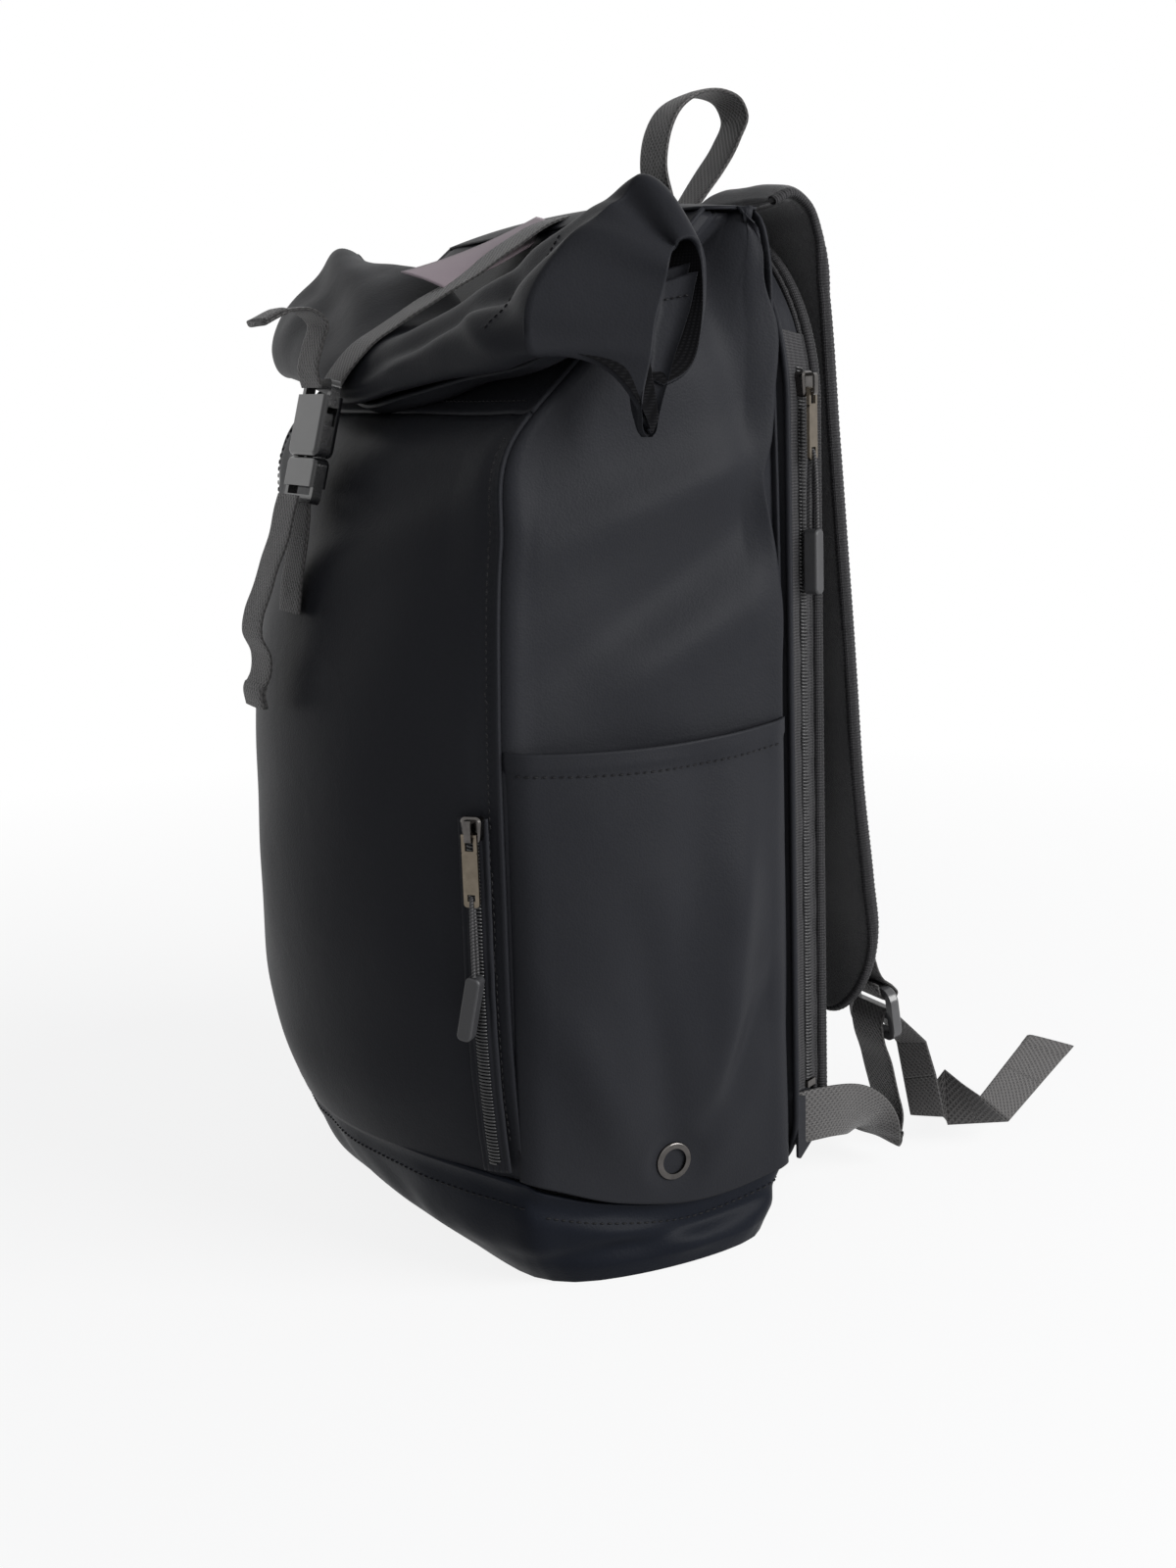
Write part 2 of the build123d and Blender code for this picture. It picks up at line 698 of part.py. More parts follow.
def buckle_male():
    """The plug: two prongs and a guide in front of a bar for the webbing."""
    start = -buckle_female_length - fit_gap
    base = Pos(0, start - buckle_male_length / 2, 0) * Box(
        buckle_width, buckle_male_length, buckle_thickness - 1.5)
    base = fillet(base.edges().filter_by(Axis.Z), 3.5)
    base = fillet(base.edges().filter_by(Axis.Y), 1.6)
    bar_at = start - buckle_male_length + bar_height
    slot = Pos(0, bar_at + web_slot / 2, 0) * Box(webbing_width + 2.0, web_slot, 20)
    inside = buckle_width / 2 - buckle_wall - fit_gap
    thick = buckle_thickness - 2 * buckle_wall - 2 * fit_gap
    shape = base - slot
    ladder = bar_height + web_slot
    for side in (-1, 1):
        at = Pos(0, start - buckle_male_length + ladder / 2, side * (bar_depth / 2 + 5.0))
        shape -= at * Box(buckle_width + 2, ladder, 10.0)
    for side in (-1, 1):
        arm = Pos(side * (inside - prong_width / 2), start + prong_length / 2 - 1, 0) * Box(
            prong_width, prong_length + 2, thick)
        tip = arm.edges().filter_by(Axis.Z).sort_by(Axis.Y)[-2:]
        shape += chamfer(tip, 1.6)
    shape += Pos(0, start + prong_length / 3 - 1, 0) * Box(3.0, prong_length * 2 / 3 + 2, thick)
    return shape


def loop_points(v, leg_n):
    """A strap's turn round a bar whose middle is v down the buckle."""
    past = bar_height / 2 + lay_gap + webbing_thickness / 2
    return [buckle_point(v + past, -leg_n), buckle_point(v + past, leg_n)]


leg_n = bar_depth / 2 + lay_gap + webbing_thickness / 2
fold_start = (-20.5, body_height - 29.5)   # where the strap first lies on the roll
fold_end = (-66.5, body_height - 56.0)


# loose ends and the lower patch: Y, and the drop from the neck
UPPER_TAIL = [(-80.0, 41.0), (-92.0, 36.0), (-108.0, 41.0)]
LOWER_PATCH = [(-99.5, 166.0), (-97.2, 149.0)]
CLOSING_TAIL = [(-109.0, 140.0), (-115.0, 158.0), (-121.0, 172.0), (-117.5, 188.0), (-121.0, 204.0)]


def upper_strap():
    """Webbing from the top seam over the roll, round the buckle's bar and up into a tail."""
    over = [(68.0, body_height + 1.4), (36.0, body_height + 5.2), fold_start, fold_end]
    approach = buckle_point(-4.0, -leg_n)
    turn = loop_points(bar_height / 2, leg_n)
    rise = [buckle_point(-9.0, leg_n + 1.0)] + [(y, body_height - drop) for y, drop in UPPER_TAIL]
    return over + [approach] + turn + rise


plug_bar_v = buckle_female_length + fit_gap + buckle_male_length - bar_height / 2
plug_turn_v = plug_bar_v - bar_height / 2 - lay_gap - webbing_thickness / 2


def lower_strap(around):
    """Webbing sewn on the front panel, up behind the plug's bar and into its slot."""
    points = [(y, body_height - drop) for y, drop in LOWER_PATCH] + [
        buckle_point(plug_bar_v + 10.0, -leg_n - 0.6),
        buckle_point(plug_turn_v, -leg_n),
        buckle_point(plug_turn_v, 0.0),
    ]
    return band(points, webbing_width, webbing_thickness) - around


def closing_tail():
    """The loose end of the same webbing, from the plug's slot down in front of the panel."""
    points = [
        buckle_point(plug_turn_v, 0.0),
        buckle_point(plug_turn_v, leg_n),
        buckle_point(plug_bar_v + 9.0, leg_n + 2.0),
    ] + [(y, body_height - drop) for y, drop in CLOSING_TAIL]
    return band(points, webbing_width, webbing_thickness)


# ---- handle and tag ----------------------------------------------------------------
handle_bend = 3.0           # radius at the root, where the two ends lie together
binding_top = compartment_top - gusset_inset + binding_clear + binding_wall
handle_pivot = (99.0, binding_top + lay_gap + webbing_thickness / 2 + handle_bend)
# the loop from its front leg over the crown to its rear leg, off the corner at its root
HANDLE_LOOP = [(-7.0, 42.0), (4.5, 62.0), (25.0, 68.5), (40.0, 59.5), (20.5, 28.5)]


def handle_root():
    """The corner under the pivot, whose bend turns round the pivot."""
    rise = [atan2(z, y) for y, z in (HANDLE_LOOP[0], HANDLE_LOOP[-1])]
    middle = sum(rise) / 2
    drop = handle_bend / sin((rise[0] - rise[1]) / 2)
    y, z = handle_pivot
    return (y - drop * cos(middle), z - drop * sin(middle))


def haul_handle():
    """A loop of webbing that stands on the top seam, its two ends together."""
    y, z = handle_root()
    loop = [(y, z)] + [(y + dy, z + dz) for dy, dz in HANDLE_LOOP]
    radii = [handle_bend] + corner_radii(loop + loop[:1])
    with BuildPart() as part:
        with BuildSketch(Plane.YZ.offset(-handle_width / 2)):
            with BuildLine():
                FilletPolyline(*loop, radius=radii, close=True)
            trace(line_width=webbing_thickness)
        extrude(amount=handle_width)
    return part.part


# ---- shoulder straps ---------------------------------------------------------------
strap_bend = body_height - 36.0     # where the strap has come over the top and hangs down
strap_belly = 149.0                 # where its lower part starts
# the strap's middle line in Y and Z: over the top seam, down behind the bag, and its lower
# part; between them the height is a share of the way up from the belly to the bend
STRAP_OVER = [(90, body_height + 4.2), (100, body_height + 5.0), (109, body_height - 4.0), (114.5, strap_bend)]
STRAP_DOWN = [(118.5, 0.764), (121.5, 0.517), (124, 0.348), (127, 0.176)]
STRAP_LOW = [(131.5, strap_belly), (132.5, 120), (128, 90), (124, 78)]
STRAP_LINE = STRAP_OVER + [
    (y, strap_belly + share * (strap_bend - strap_belly)) for y, share in STRAP_DOWN
] + STRAP_LOW
lock_x = strap_inner_x + 46.0
lock_y = 154.0
lock_z = 79.0
lock_tilt = 8.0
lock_slot = (lock_length - 3 * lock_bar) / 2
lock_leg = lock_thickness / 2 + lay_gap + webbing_thickness / 2
lock_frame = Plane(
    origin=(lock_x, lock_y, lock_z),
    x_dir=(-1, 0, 0),
    z_dir=(0, cos(radians(lock_tilt)), sin(radians(lock_tilt))),
).location


def lock_point(v, n):
    """Y and Z of a point v up the ladder lock and n out from its middle."""
    lean = radians(lock_tilt)
    return (lock_y - v * sin(lean) + n * cos(lean), lock_z + v * cos(lean) + n * sin(lean))


def shoulder_strap():
    """A padded strap: its side profile cut to its outline."""
    with BuildPart() as profile:
        with BuildSketch(Plane.YZ):
            with BuildLine():
                Spline(*STRAP_LINE)
            trace(line_width=strap_thickness)
        extrude(amount=160.0)
    top = STRAP_LINE[0][1] + 20
    low = STRAP_LINE[-1][1] + 24
    inner = strap_inner_x
    outer = strap_inner_x + strap_width_top
    drift = strap_drift
    with BuildPart() as outline:
        with BuildSketch(Plane.XZ):
            with BuildLine():
                left = Spline((inner, top), (inner, top - 80), (inner + drift, 250),
                              (inner + drift + 7, low))
                right = Spline((outer, top), (outer, top - 80), (outer + 5, 250),
                               (inner + drift + 7 + strap_width_bottom, low))
                ThreePointArc(left @ 1, (inner + drift + 7 + strap_width_bottom / 2, low - 20), right @ 1)
                Line(left @ 0, right @ 0)
            make_face()
        extrude(amount=-300.0)
    return profile.part & outline.part


def ladder_lock():
    """A ladder lock: a rounded plate with two slots and a rolled middle bar."""
    plate = Box(lock_width, lock_length, lock_thickness)
    plate = fillet(plate.edges().filter_by(Axis.Z), 7.0)
    plate = fillet(plate.faces().sort_by(Axis.Z)[-1].edges(), 1.2)
    for side in (-1, 1):
        at = Pos(0, side * (lock_bar + lock_slot) / 2, 0)
        plate -= at * Box(webbing_width + 2.0, lock_slot, 20)
    return lock_frame * plate


def lock_tab():
    """The short webbing from the strap's lower end round the lock's top bar."""
    turn = lock_length / 2 - lock_bar - lay_gap - webbing_thickness / 2
    sewn = 140.5
    points = [
        (sewn - 0.5, 142.0),
        (sewn + 0.7, 122.0),
        lock_point(lock_length / 2 + 5.0, lock_leg),
        lock_point(turn, lock_leg),
        lock_point(turn, -lock_leg),
        lock_point(lock_length / 2 + 2.0, -lock_leg),
    ]
    return band(points, webbing_width, webbing_thickness, lock_x)


lock_turn = lock_bar / 2 + lay_gap + webbing_thickness / 2
anchor_z = 52.0
tab_thickness = 1.2


def anchor_tab():
    """The coated patch that the lower webbing is sewn to."""
    y = gusset_front_y + 9.0
    place = outward_frame((gusset_face_x(y), y, anchor_z - 4.0), gusset_turn)
    with BuildSketch(Plane.XY.offset(lay_gap)) as sketch:
        Polygon((-7, 15), (9, 10), (9, -9), (-7, -17), align=None)
        fillet(sketch.vertices(), 2.0)
    return place * extrude(sketch.sketch, tab_thickness)


def lower_webbing():
    """Webbing from the anchor, twisting out behind the bag and up into the ladder lock."""
    turn = radians(gusset_turn)
    off = lay_gap + tab_thickness + lay_gap + webbing_thickness / 2
    y = gusset_front_y + 4.0
    root = (gusset_face_x(y) + off * cos(turn), y + off * sin(turn), anchor_z)
    leg_y, leg_z = lock_point(-lock_length / 2 - 4.0, -lock_leg)
    lean = radians(lock_tilt)
    stations = [
        (root, (0, 0, 1), (-sin(turn), cos(turn), 0)),
        ((gusset_half - 5.5, 103.0, 50.0), (0, 0, 1), (-0.25, 1, -0.1)),
        ((gusset_half - 16.0, 128.0, 38.0), (0.45, 0, 0.9), (-0.45, 0.8, -0.4)),
        ((lock_x + 11.0, 147.0, 19.0), (0.9, 0, 0.4), (-0.4, 0.8, -0.45)),
        ((lock_x + 2.0, 156.0, 12.5), (1, 0, 0), (0, 1, 0)),
        ((lock_x, 161.0, 19.0), (1, 0, 0), (0, 0.2, 1)),
        ((lock_x, 157.0, 40.0), (1, 0, 0), (0, -0.2, 1)),
        ((lock_x, leg_y, leg_z), (1, 0, 0), (0, -sin(lean), cos(lean))),
    ]
    hairpin = [(leg_y, leg_z), lock_point(lock_turn, -lock_leg), lock_point(lock_turn, 0.0)]
    return ribbon(stations, webbing_width, webbing_thickness) + band(
        hairpin, webbing_width, webbing_thickness, lock_x)


RIGHT_TAIL = [(172, 42), (195, 24), (222, 11), (244, 6), (263, 24), (284, 38)]
LEFT_TAIL = [(169, 42), (180, 22), (197, 11), (212, 17)]


def webbing_tail(loose):
    """The free end of the webbing, from the lock's middle bar."""
    points = [
        lock_point(lock_turn, 0.0),
        lock_point(lock_turn, lock_leg),
        lock_point(-lock_length / 2 - 4.0, lock_leg),
    ]
    return band(points + loose, webbing_width, webbing_thickness, lock_x)


def hang_tag():
    """A plain card that lies over the saddle of the roll."""
    card = Box(50.0, 77.0, 0.6)
    card = fillet(card.edges().filter_by(Axis.Z), 1.0)
    return Pos(-15, 13.0, body_height - 2.8) * Rot(19.2, 0, 0) * card


# ---- assembly ----------------------------------------------------------------------
def zip_set(prefix, frame, lean):
    """The slider and what hangs on it, placed by the slider's frame."""
    return {
        f"{prefix}_zip_slider": frame * slider(),
        f"{prefix}_zip_pull": frame * zip_pull(),
        f"{prefix}_zip_cord": frame * pull_cord(),
        f"{prefix}_zip_grip": frame * cord_grip(lean),
    }


def all_nodes():
    """Every sub-part by name."""
    body = body_form()
    around = body_form(-lay_gap)
    nodes = body_panels()
    nodes["main_lining"] = main_lining()
    pocket, seat = side_pocket(around)
    nodes["side_pocket_right"] = pocket
    nodes["pocket_eyelet_right"] = eyelet(seat)
    nodes["laptop_gusset"] = laptop_gusset()
    nodes["divider_board"] = divider_board()
    nodes["back_panel"] = back_panel()
    nodes["back_mesh"] = back_mesh()
    nodes["back_band"] = back_band()
    nodes["rear_binding"] = rear_binding()
    nodes["side_zip_tape"] = side_zip_tape()
    nodes["side_zip_coil"] = side_zip_coil()
    nodes["side_zip_stop"] = zip_stop()
    nodes.update(zip_set("side", side_zip_frame(side_zip_top - slider_length / 2), 0.0))
    x = reach_x(body, front_zip_y, front_zip_top)
    low, high = front_zip_bottom - tape_end, front_zip_top + tape_end
    nodes["front_zip_tape"] = front_strip(x, front_tape_width, low, high, lay_gap, tape_top)
    nodes["front_zip_coil"] = front_strip(
        x, coil_width, front_zip_bottom, front_zip_top, tape_top, coil_top)
    nodes.update(zip_set("front", front_zip_frame(x), -12.0))
    nodes["roll_top"] = roll_top(around)
    nodes["mouth_fold"] = mouth_fold(around)
    nodes["upper_strap"] = band(upper_strap(), webbing_width, webbing_thickness)
    nodes["buckle_female"] = buckle_frame * buckle_female()
    nodes["buckle_male"] = buckle_frame * buckle_male()
    nodes["lower_strap"] = lower_strap(around)
    nodes["closing_tail"] = closing_tail()
    nodes["shoulder_strap_right"] = shoulder_strap()
    nodes["ladder_lock_right"] = ladder_lock()
    nodes["lock_tab_right"] = lock_tab()
    nodes["lower_webbing_right"] = lower_webbing()
    nodes["anchor_tab_right"] = anchor_tab()
    nodes["webbing_tail_right"] = webbing_tail(RIGHT_TAIL)
    nodes["webbing_tail_left"] = mirrored(webbing_tail(LEFT_TAIL))
    nodes["haul_handle"] = haul_handle()
    nodes["hang_tag"] = hang_tag()
    for name in [n for n in nodes if n.endswith("_right")]:
        twin = name.replace("_right", "_left")
        if twin not in nodes:
            nodes[twin] = mirrored(nodes[name])
    return nodes


print(f"zip cords: {cord_diameter} mm thick, bend radius {cord_bend:.1f} mm in the pull's slot")
os.makedirs("parts", exist_ok=True)
for node, shape in all_nodes().items():
    export_step(shape, f"parts/{node}.step")
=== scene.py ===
# %% [markdown]
# # A roll-top backpack in black coated fabric
# The bag is a sewn shell: a front panel, two sides, a base and a neck whose top is rolled shut.
# Its construction arrives as a fixed frame of rigid solids. Everything soft is made again here as
# thin curved surfaces, because a soft thing reads by its folds, seams and stitches.
#
# %% Load the frame
import json
import bpy
import numpy as np
from mathutils import Matrix, Vector

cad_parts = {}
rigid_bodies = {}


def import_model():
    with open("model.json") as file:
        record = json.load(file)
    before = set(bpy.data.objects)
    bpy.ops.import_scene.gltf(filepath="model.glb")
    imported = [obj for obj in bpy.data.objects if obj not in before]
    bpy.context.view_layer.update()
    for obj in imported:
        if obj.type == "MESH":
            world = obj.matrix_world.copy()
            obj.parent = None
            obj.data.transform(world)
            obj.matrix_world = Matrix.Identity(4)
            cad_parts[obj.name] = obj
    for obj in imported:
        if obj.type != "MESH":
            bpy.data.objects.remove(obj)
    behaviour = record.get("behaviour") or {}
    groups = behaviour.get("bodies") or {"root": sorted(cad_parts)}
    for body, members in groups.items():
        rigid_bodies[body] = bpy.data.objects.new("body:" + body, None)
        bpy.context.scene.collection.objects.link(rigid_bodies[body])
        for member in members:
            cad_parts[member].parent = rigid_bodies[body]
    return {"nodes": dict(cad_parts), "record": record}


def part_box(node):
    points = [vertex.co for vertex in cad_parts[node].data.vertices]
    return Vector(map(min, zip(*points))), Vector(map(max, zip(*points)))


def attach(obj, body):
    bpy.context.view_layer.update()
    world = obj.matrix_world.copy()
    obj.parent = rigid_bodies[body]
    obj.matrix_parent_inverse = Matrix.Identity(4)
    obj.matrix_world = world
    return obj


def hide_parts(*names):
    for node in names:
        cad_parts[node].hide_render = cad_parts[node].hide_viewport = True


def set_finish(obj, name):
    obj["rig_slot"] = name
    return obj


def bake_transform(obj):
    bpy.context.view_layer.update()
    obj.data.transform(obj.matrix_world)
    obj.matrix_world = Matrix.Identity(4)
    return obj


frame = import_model()
for leftover in ("Cube", "Light", "Camera"):
    if leftover in bpy.data.objects:
        bpy.data.objects.remove(bpy.data.objects[leftover])
nodes = frame["nodes"]
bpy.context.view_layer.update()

# %% [markdown]
# ## Camera
# The bag is seen from its right front corner, a little above it, with a normal lens.
#
# %% Camera
CAMERA_AT = Vector((0.8252, -0.3939, 0.3886))
AZIMUTH, ELEVATION, ROLL = np.radians((62.0, 12.0, -2.0))

back = Vector((np.sin(AZIMUTH) * np.cos(ELEVATION), -np.cos(AZIMUTH) * np.cos(ELEVATION), np.sin(ELEVATION)))
level = Vector((np.cos(AZIMUTH), np.sin(AZIMUTH), 0.0))
rise = back.cross(level)
right = level * np.cos(ROLL) + rise * np.sin(ROLL)
up = rise * np.cos(ROLL) - level * np.sin(ROLL)
camera = bpy.data.objects.new("camera", bpy.data.cameras.new("camera"))
camera.data.lens = 45.0
camera.data.sensor_width = 36.0
camera.matrix_world = Matrix((
    (right.x, up.x, back.x, CAMERA_AT.x),
    (right.y, up.y, back.y, CAMERA_AT.y),
    (right.z, up.z, back.z, CAMERA_AT.z),
    (0, 0, 0, 1),
))
bpy.context.collection.objects.link(camera)
bpy.context.scene.camera = camera

# %% [markdown]
# ## Cords on the zip pulls
# A cord is a smooth line of fixed length. Each one leaves the grip, goes up through the pull's
# slot and comes back, so its four points are a narrow loop. The spline pulls them into a curve.
#
# %% The two cord loops
MM = 0.001
CORD = 1.8 * MM
CORD_SPREAD = 2.0 * MM      # how far each strand lies from the pull's middle
GUSSET_TURN = np.radians(25.854)
FRONT_TURN = np.radians(-48.0)


def facing(turn):
    """The direction, level with the floor, that is turned from +X towards +Y."""
    return np.array((np.cos(turn), np.sin(turn), 0.0))


def cord_loop(name, slot_at, turn):
    """Up beside the pull, through its slot and down again, as one spline of order three."""
    out = facing(turn) * CORD_SPREAD
    slot_at = np.array(slot_at)
    foot = slot_at - (0.0, 0.0, 0.033)
    curve = bpy.data.curves.new(name, "CURVE")
    curve.dimensions = "3D"
    curve.bevel_depth = 1.0     # times each point's radius
    curve.bevel_resolution = 3
    curve.resolution_u = 12
    line = curve.splines.new("NURBS")
    points = [foot + out, slot_at + out, slot_at - out, foot - out]
    line.points.add(len(points) - 1)
    for point, place in zip(line.points, points):
        point.co = (*place, 1.0)
        point.radius = CORD / 2
    line.order_u = 3
    line.use_endpoint_u = True
    obj = bpy.data.objects.new(name, curve)
    bpy.context.collection.objects.link(obj)
    return obj, points[0]


cords = {}
for side, slot_at, turn in (
    ("side", (0.128962, 0.089596, 0.3509), GUSSET_TURN),
    ("front", (0.126329, -0.077168, 0.1804), FRONT_TURN),
):
    loop, foot = cord_loop(f"{side}_pull_cord", slot_at, turn)
    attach(loop, f"{side}_cord")
    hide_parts(f"{side}_zip_cord")
    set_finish(loop, "pull_cord")
    cords[side] = loop
print("cords:", list(cords))

# %% [markdown]
# ## From arrays to meshes
# A surface is a grid of points worked out with numpy: rows run along the first parameter and
# columns along the second. One function turns any grid into a mesh with a UV map in metres, so
# that a weave keeps its real scale on every piece.
#
# %% Grid helpers
def make_mesh(name, points, faces, uv=None):
    """A smooth mesh object from points in millimetres and an array of equal-sided faces."""
    points = np.asarray(points, float) * MM
    faces = np.asarray(faces)
    sides = faces.shape[1]
    mesh = bpy.data.meshes.new(name)
    mesh.vertices.add(len(points))
    mesh.vertices.foreach_set("co", points.ravel())
    mesh.loops.add(faces.size)
    mesh.loops.foreach_set("vertex_index", faces.ravel())
    mesh.polygons.add(len(faces))
    mesh.polygons.foreach_set("loop_start", np.arange(len(faces)) * sides)
    mesh.polygons.foreach_set("loop_total", np.full(len(faces), sides))
    mesh.polygons.foreach_set("use_smooth", np.ones(len(faces), bool))
    mesh.update(calc_edges=True)
    if uv is not None:
        layer = mesh.uv_layers.new(name="cloth")
        layer.data.foreach_set("uv", (np.asarray(uv) * MM)[faces.ravel()].ravel())
    mesh.validate()
    obj = bpy.data.objects.new(name, mesh)
    bpy.context.collection.objects.link(obj)
    return obj


def grid_faces(rows, columns, close_rows=False, close_columns=False):
    """Quads of a grid: each corner is the next row's or the next column's neighbour."""
    r = np.arange(rows if close_rows else rows - 1)
    c = np.arange(columns if close_columns else columns - 1)
    r, c = np.meshgrid(r, c, indexing="ij")
    r1, c1 = (r + 1) % rows, (c + 1) % columns
    corners = [r * columns + c, r1 * columns + c, r1 * columns + c1, r * columns + c1]
    return np.stack([k.ravel() for k in corners], axis=1)


def unit(vectors):
    """The same directions with length one."""
    return vectors / np.linalg.norm(vectors, axis=-1, keepdims=True)


def distance_along(path):
    """Distance walked from the first place of a line to each of its places."""
    return np.concatenate([[0.0], np.cumsum(np.linalg.norm(np.diff(path, axis=0), axis=1))])


def sampled(at, walked, values):
    """Values known at the distances walked, read at other distances, straight in between."""
    return np.stack([np.interp(at, walked, values[:, k]) for k in range(3)], axis=1)


def run_length(points, axis):
    """Distance walked along one axis of a grid, the mean over the other."""
    steps = np.linalg.norm(np.diff(points, axis=axis), axis=-1).mean(axis=1 - axis)
    return np.concatenate([[0.0], np.cumsum(steps)])


def normals_of(points):
    """Unit normals of a grid, from the cross product of its two slopes."""
    along = np.gradient(points, axis=0)
    across = np.gradient(points, axis=1)
    normal = np.cross(along, across)
    return normal / np.maximum(np.linalg.norm(normal, axis=-1, keepdims=True), 1e-9)


def surface(name, points, body, slot, stands_for=(), wall=0.0,
            close_rows=False, close_columns=False, flip=False):
    """A grid as a piece of the bag: meshed, given a wall, and set on its body."""
    if flip:
        points = points[:, ::-1]
    rows, columns = points.shape[:2]
    u, v = np.meshgrid(run_length(points, 0), run_length(points, 1), indexing="ij")
    uv = np.stack([u.ravel(), v.ravel()], axis=1)
    faces = grid_faces(rows, columns, close_rows, close_columns)
    obj = make_mesh(name, points.reshape(-1, 3), faces, uv)
    if wall:
        solid = obj.modifiers.new("wall", "SOLIDIFY")
        solid.thickness = wall * MM
        solid.offset = -1.0
        solid.use_even_offset = False
    if body:
        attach(obj, body)
    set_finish(obj, slot)
    if stands_for:
        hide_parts(*stands_for)
    return obj


def smooth_steps(x, xs, ys):
    """A smooth curve through given values: cubic pieces whose slopes are the mean of their neighbours'."""
    xs, ys = np.asarray(xs, float), np.asarray(ys, float)
    slopes = np.gradient(ys, xs, axis=0)
    x = np.clip(x, xs[0], xs[-1])
    k = np.clip(np.searchsorted(xs, x, side="right") - 1, 0, len(xs) - 2)
    h = xs[k + 1] - xs[k]
    t = (x - xs[k]) / h
    if ys.ndim > 1:
        t, h = t[..., None], h[..., None]
    return (
        (1 + 2 * t) * (1 - t) ** 2 * ys[k] + t * (1 - t) ** 2 * h * slopes[k]
        + t * t * (3 - 2 * t) * ys[k + 1] + t * t * (t - 1) * h * slopes[k + 1]
    )


def ripple(points, wavelength, seed):
    """Gentle unevenness between -1 and 1: eight plane waves in random directions, added."""
    chance = np.random.default_rng(seed)
    total = 0.0
    for _ in range(8):
        way = chance.normal(size=3)
        way *= 2 * np.pi / (wavelength * chance.uniform(0.7, 1.5) * np.linalg.norm(way))
        total = total + np.sin(points @ way + chance.uniform(0, 2 * np.pi))
    return total / 4


def bump_at(x, centre, width):
    """A smooth hill of height one."""
    return np.exp(-(((x - centre) / width) ** 2))


def fold(u, v, start, end, width, height):
    """A ridge, or a valley where height is negative, along a line that fades at both ends."""
    (u0, v0), (u1, v1) = start, end
    length = np.hypot(u1 - u0, v1 - v0)
    along = ((u - u0) * (u1 - u0) + (v - v0) * (v1 - v0)) / length
    off = ((v - v0) * (u1 - u0) - (u - u0) * (v1 - v0)) / length
    fade = 1 / (1 + np.exp(-(along / (0.14 * length)))) / (1 + np.exp((along - length) / (0.14 * length)))
    return height * np.exp(-((off / width) ** 2)) * fade


def thread(name, line, up_way, body, pitch=3.6, length=2.6, radius=0.38, lift=0.1):
    """Stitches along a line: each is a small spindle with four sides, sunk at both ends."""
    line = np.asarray(line, float)
    walked = distance_along(line)
    at = np.arange(pitch, walked[-1] - pitch, pitch)
    place = sampled(at, walked, line)
    ahead = sampled(at + 0.5, walked, line) - place
    ahead = unit(ahead)
    up_way = np.asarray(up_way, float)
    if up_way.ndim > 1:
        up_way = sampled(at, walked, up_way)
    side = np.cross(ahead, np.broadcast_to(up_way, ahead.shape))
    side = unit(side)
    top = np.cross(side, ahead)
    stations = np.array([-0.5, -0.3, 0.0, 0.3, 0.5]) * length
    girth = np.array([0.25, 0.85, 1.0, 0.85, 0.25]) * radius
    sink = np.array([-0.45, -0.05, 0.0, -0.05, -0.45])
    turn = np.arange(6) * np.pi / 3
    local = np.stack([
        np.repeat(stations, 6),
        (girth[:, None] * np.cos(turn)).ravel(),
        (girth[:, None] * np.sin(turn) + sink[:, None]).ravel() + lift,
    ], axis=1)
    points = (
        place[:, None] + local[None, :, :1] * ahead[:, None]
        + local[None, :, 1:2] * side[:, None] + local[None, :, 2:] * top[:, None]
    ).reshape(-1, 3)
    one = grid_faces(5, 6, close_columns=True)[:, ::-1]
    ends = np.array([[0, 1, 2, 3], [0, 3, 4, 5], [27, 26, 25, 24], [29, 28, 27, 24]])
    one = np.concatenate([one, ends])
    faces = (one[None] + 30 * np.arange(len(at))[:, None, None]).reshape(-1, 4)
    obj = make_mesh(name, points, faces)
    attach(obj, body)
    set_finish(obj, "black_webbing")
    return obj

# %% [markdown]
# ## The shell's form
# Each height of the bag is one outline: straight back, gently bowed sides and a round front.
# The outline is a function of the distance walked from a front seam, so a panel is simply the
# stretch between two seams. Averaging neighbouring places along the walk rounds the corners.
#
# %% Outline of the bag at any height
# height, half width, seam, front and back of the bag, in millimetres
LEVELS = np.array([
    (0, 122, -48, -59, 68),
    (14, 127, -56, -76, 71.5),
    (42, 128.5, -59, -93, 73),
    (100, 128, -63, -108, 75),
    (180, 129, -64, -112, 75),
    (260, 129, -63, -106, 75),
    (320, 128, -59, -87, 75),
    (362, 128, -52, -66, 75),
    (387, 129, -28, -34, 75),
    (412, 129, 0, -8, 75),
    (434, 128, 22, 14, 74),
    (452, 124, 42, 34, 69),
])
BODY_TOP = LEVELS[-1, 0]
SIDE_BOW = 2.0
YOKE_Z = 372.0


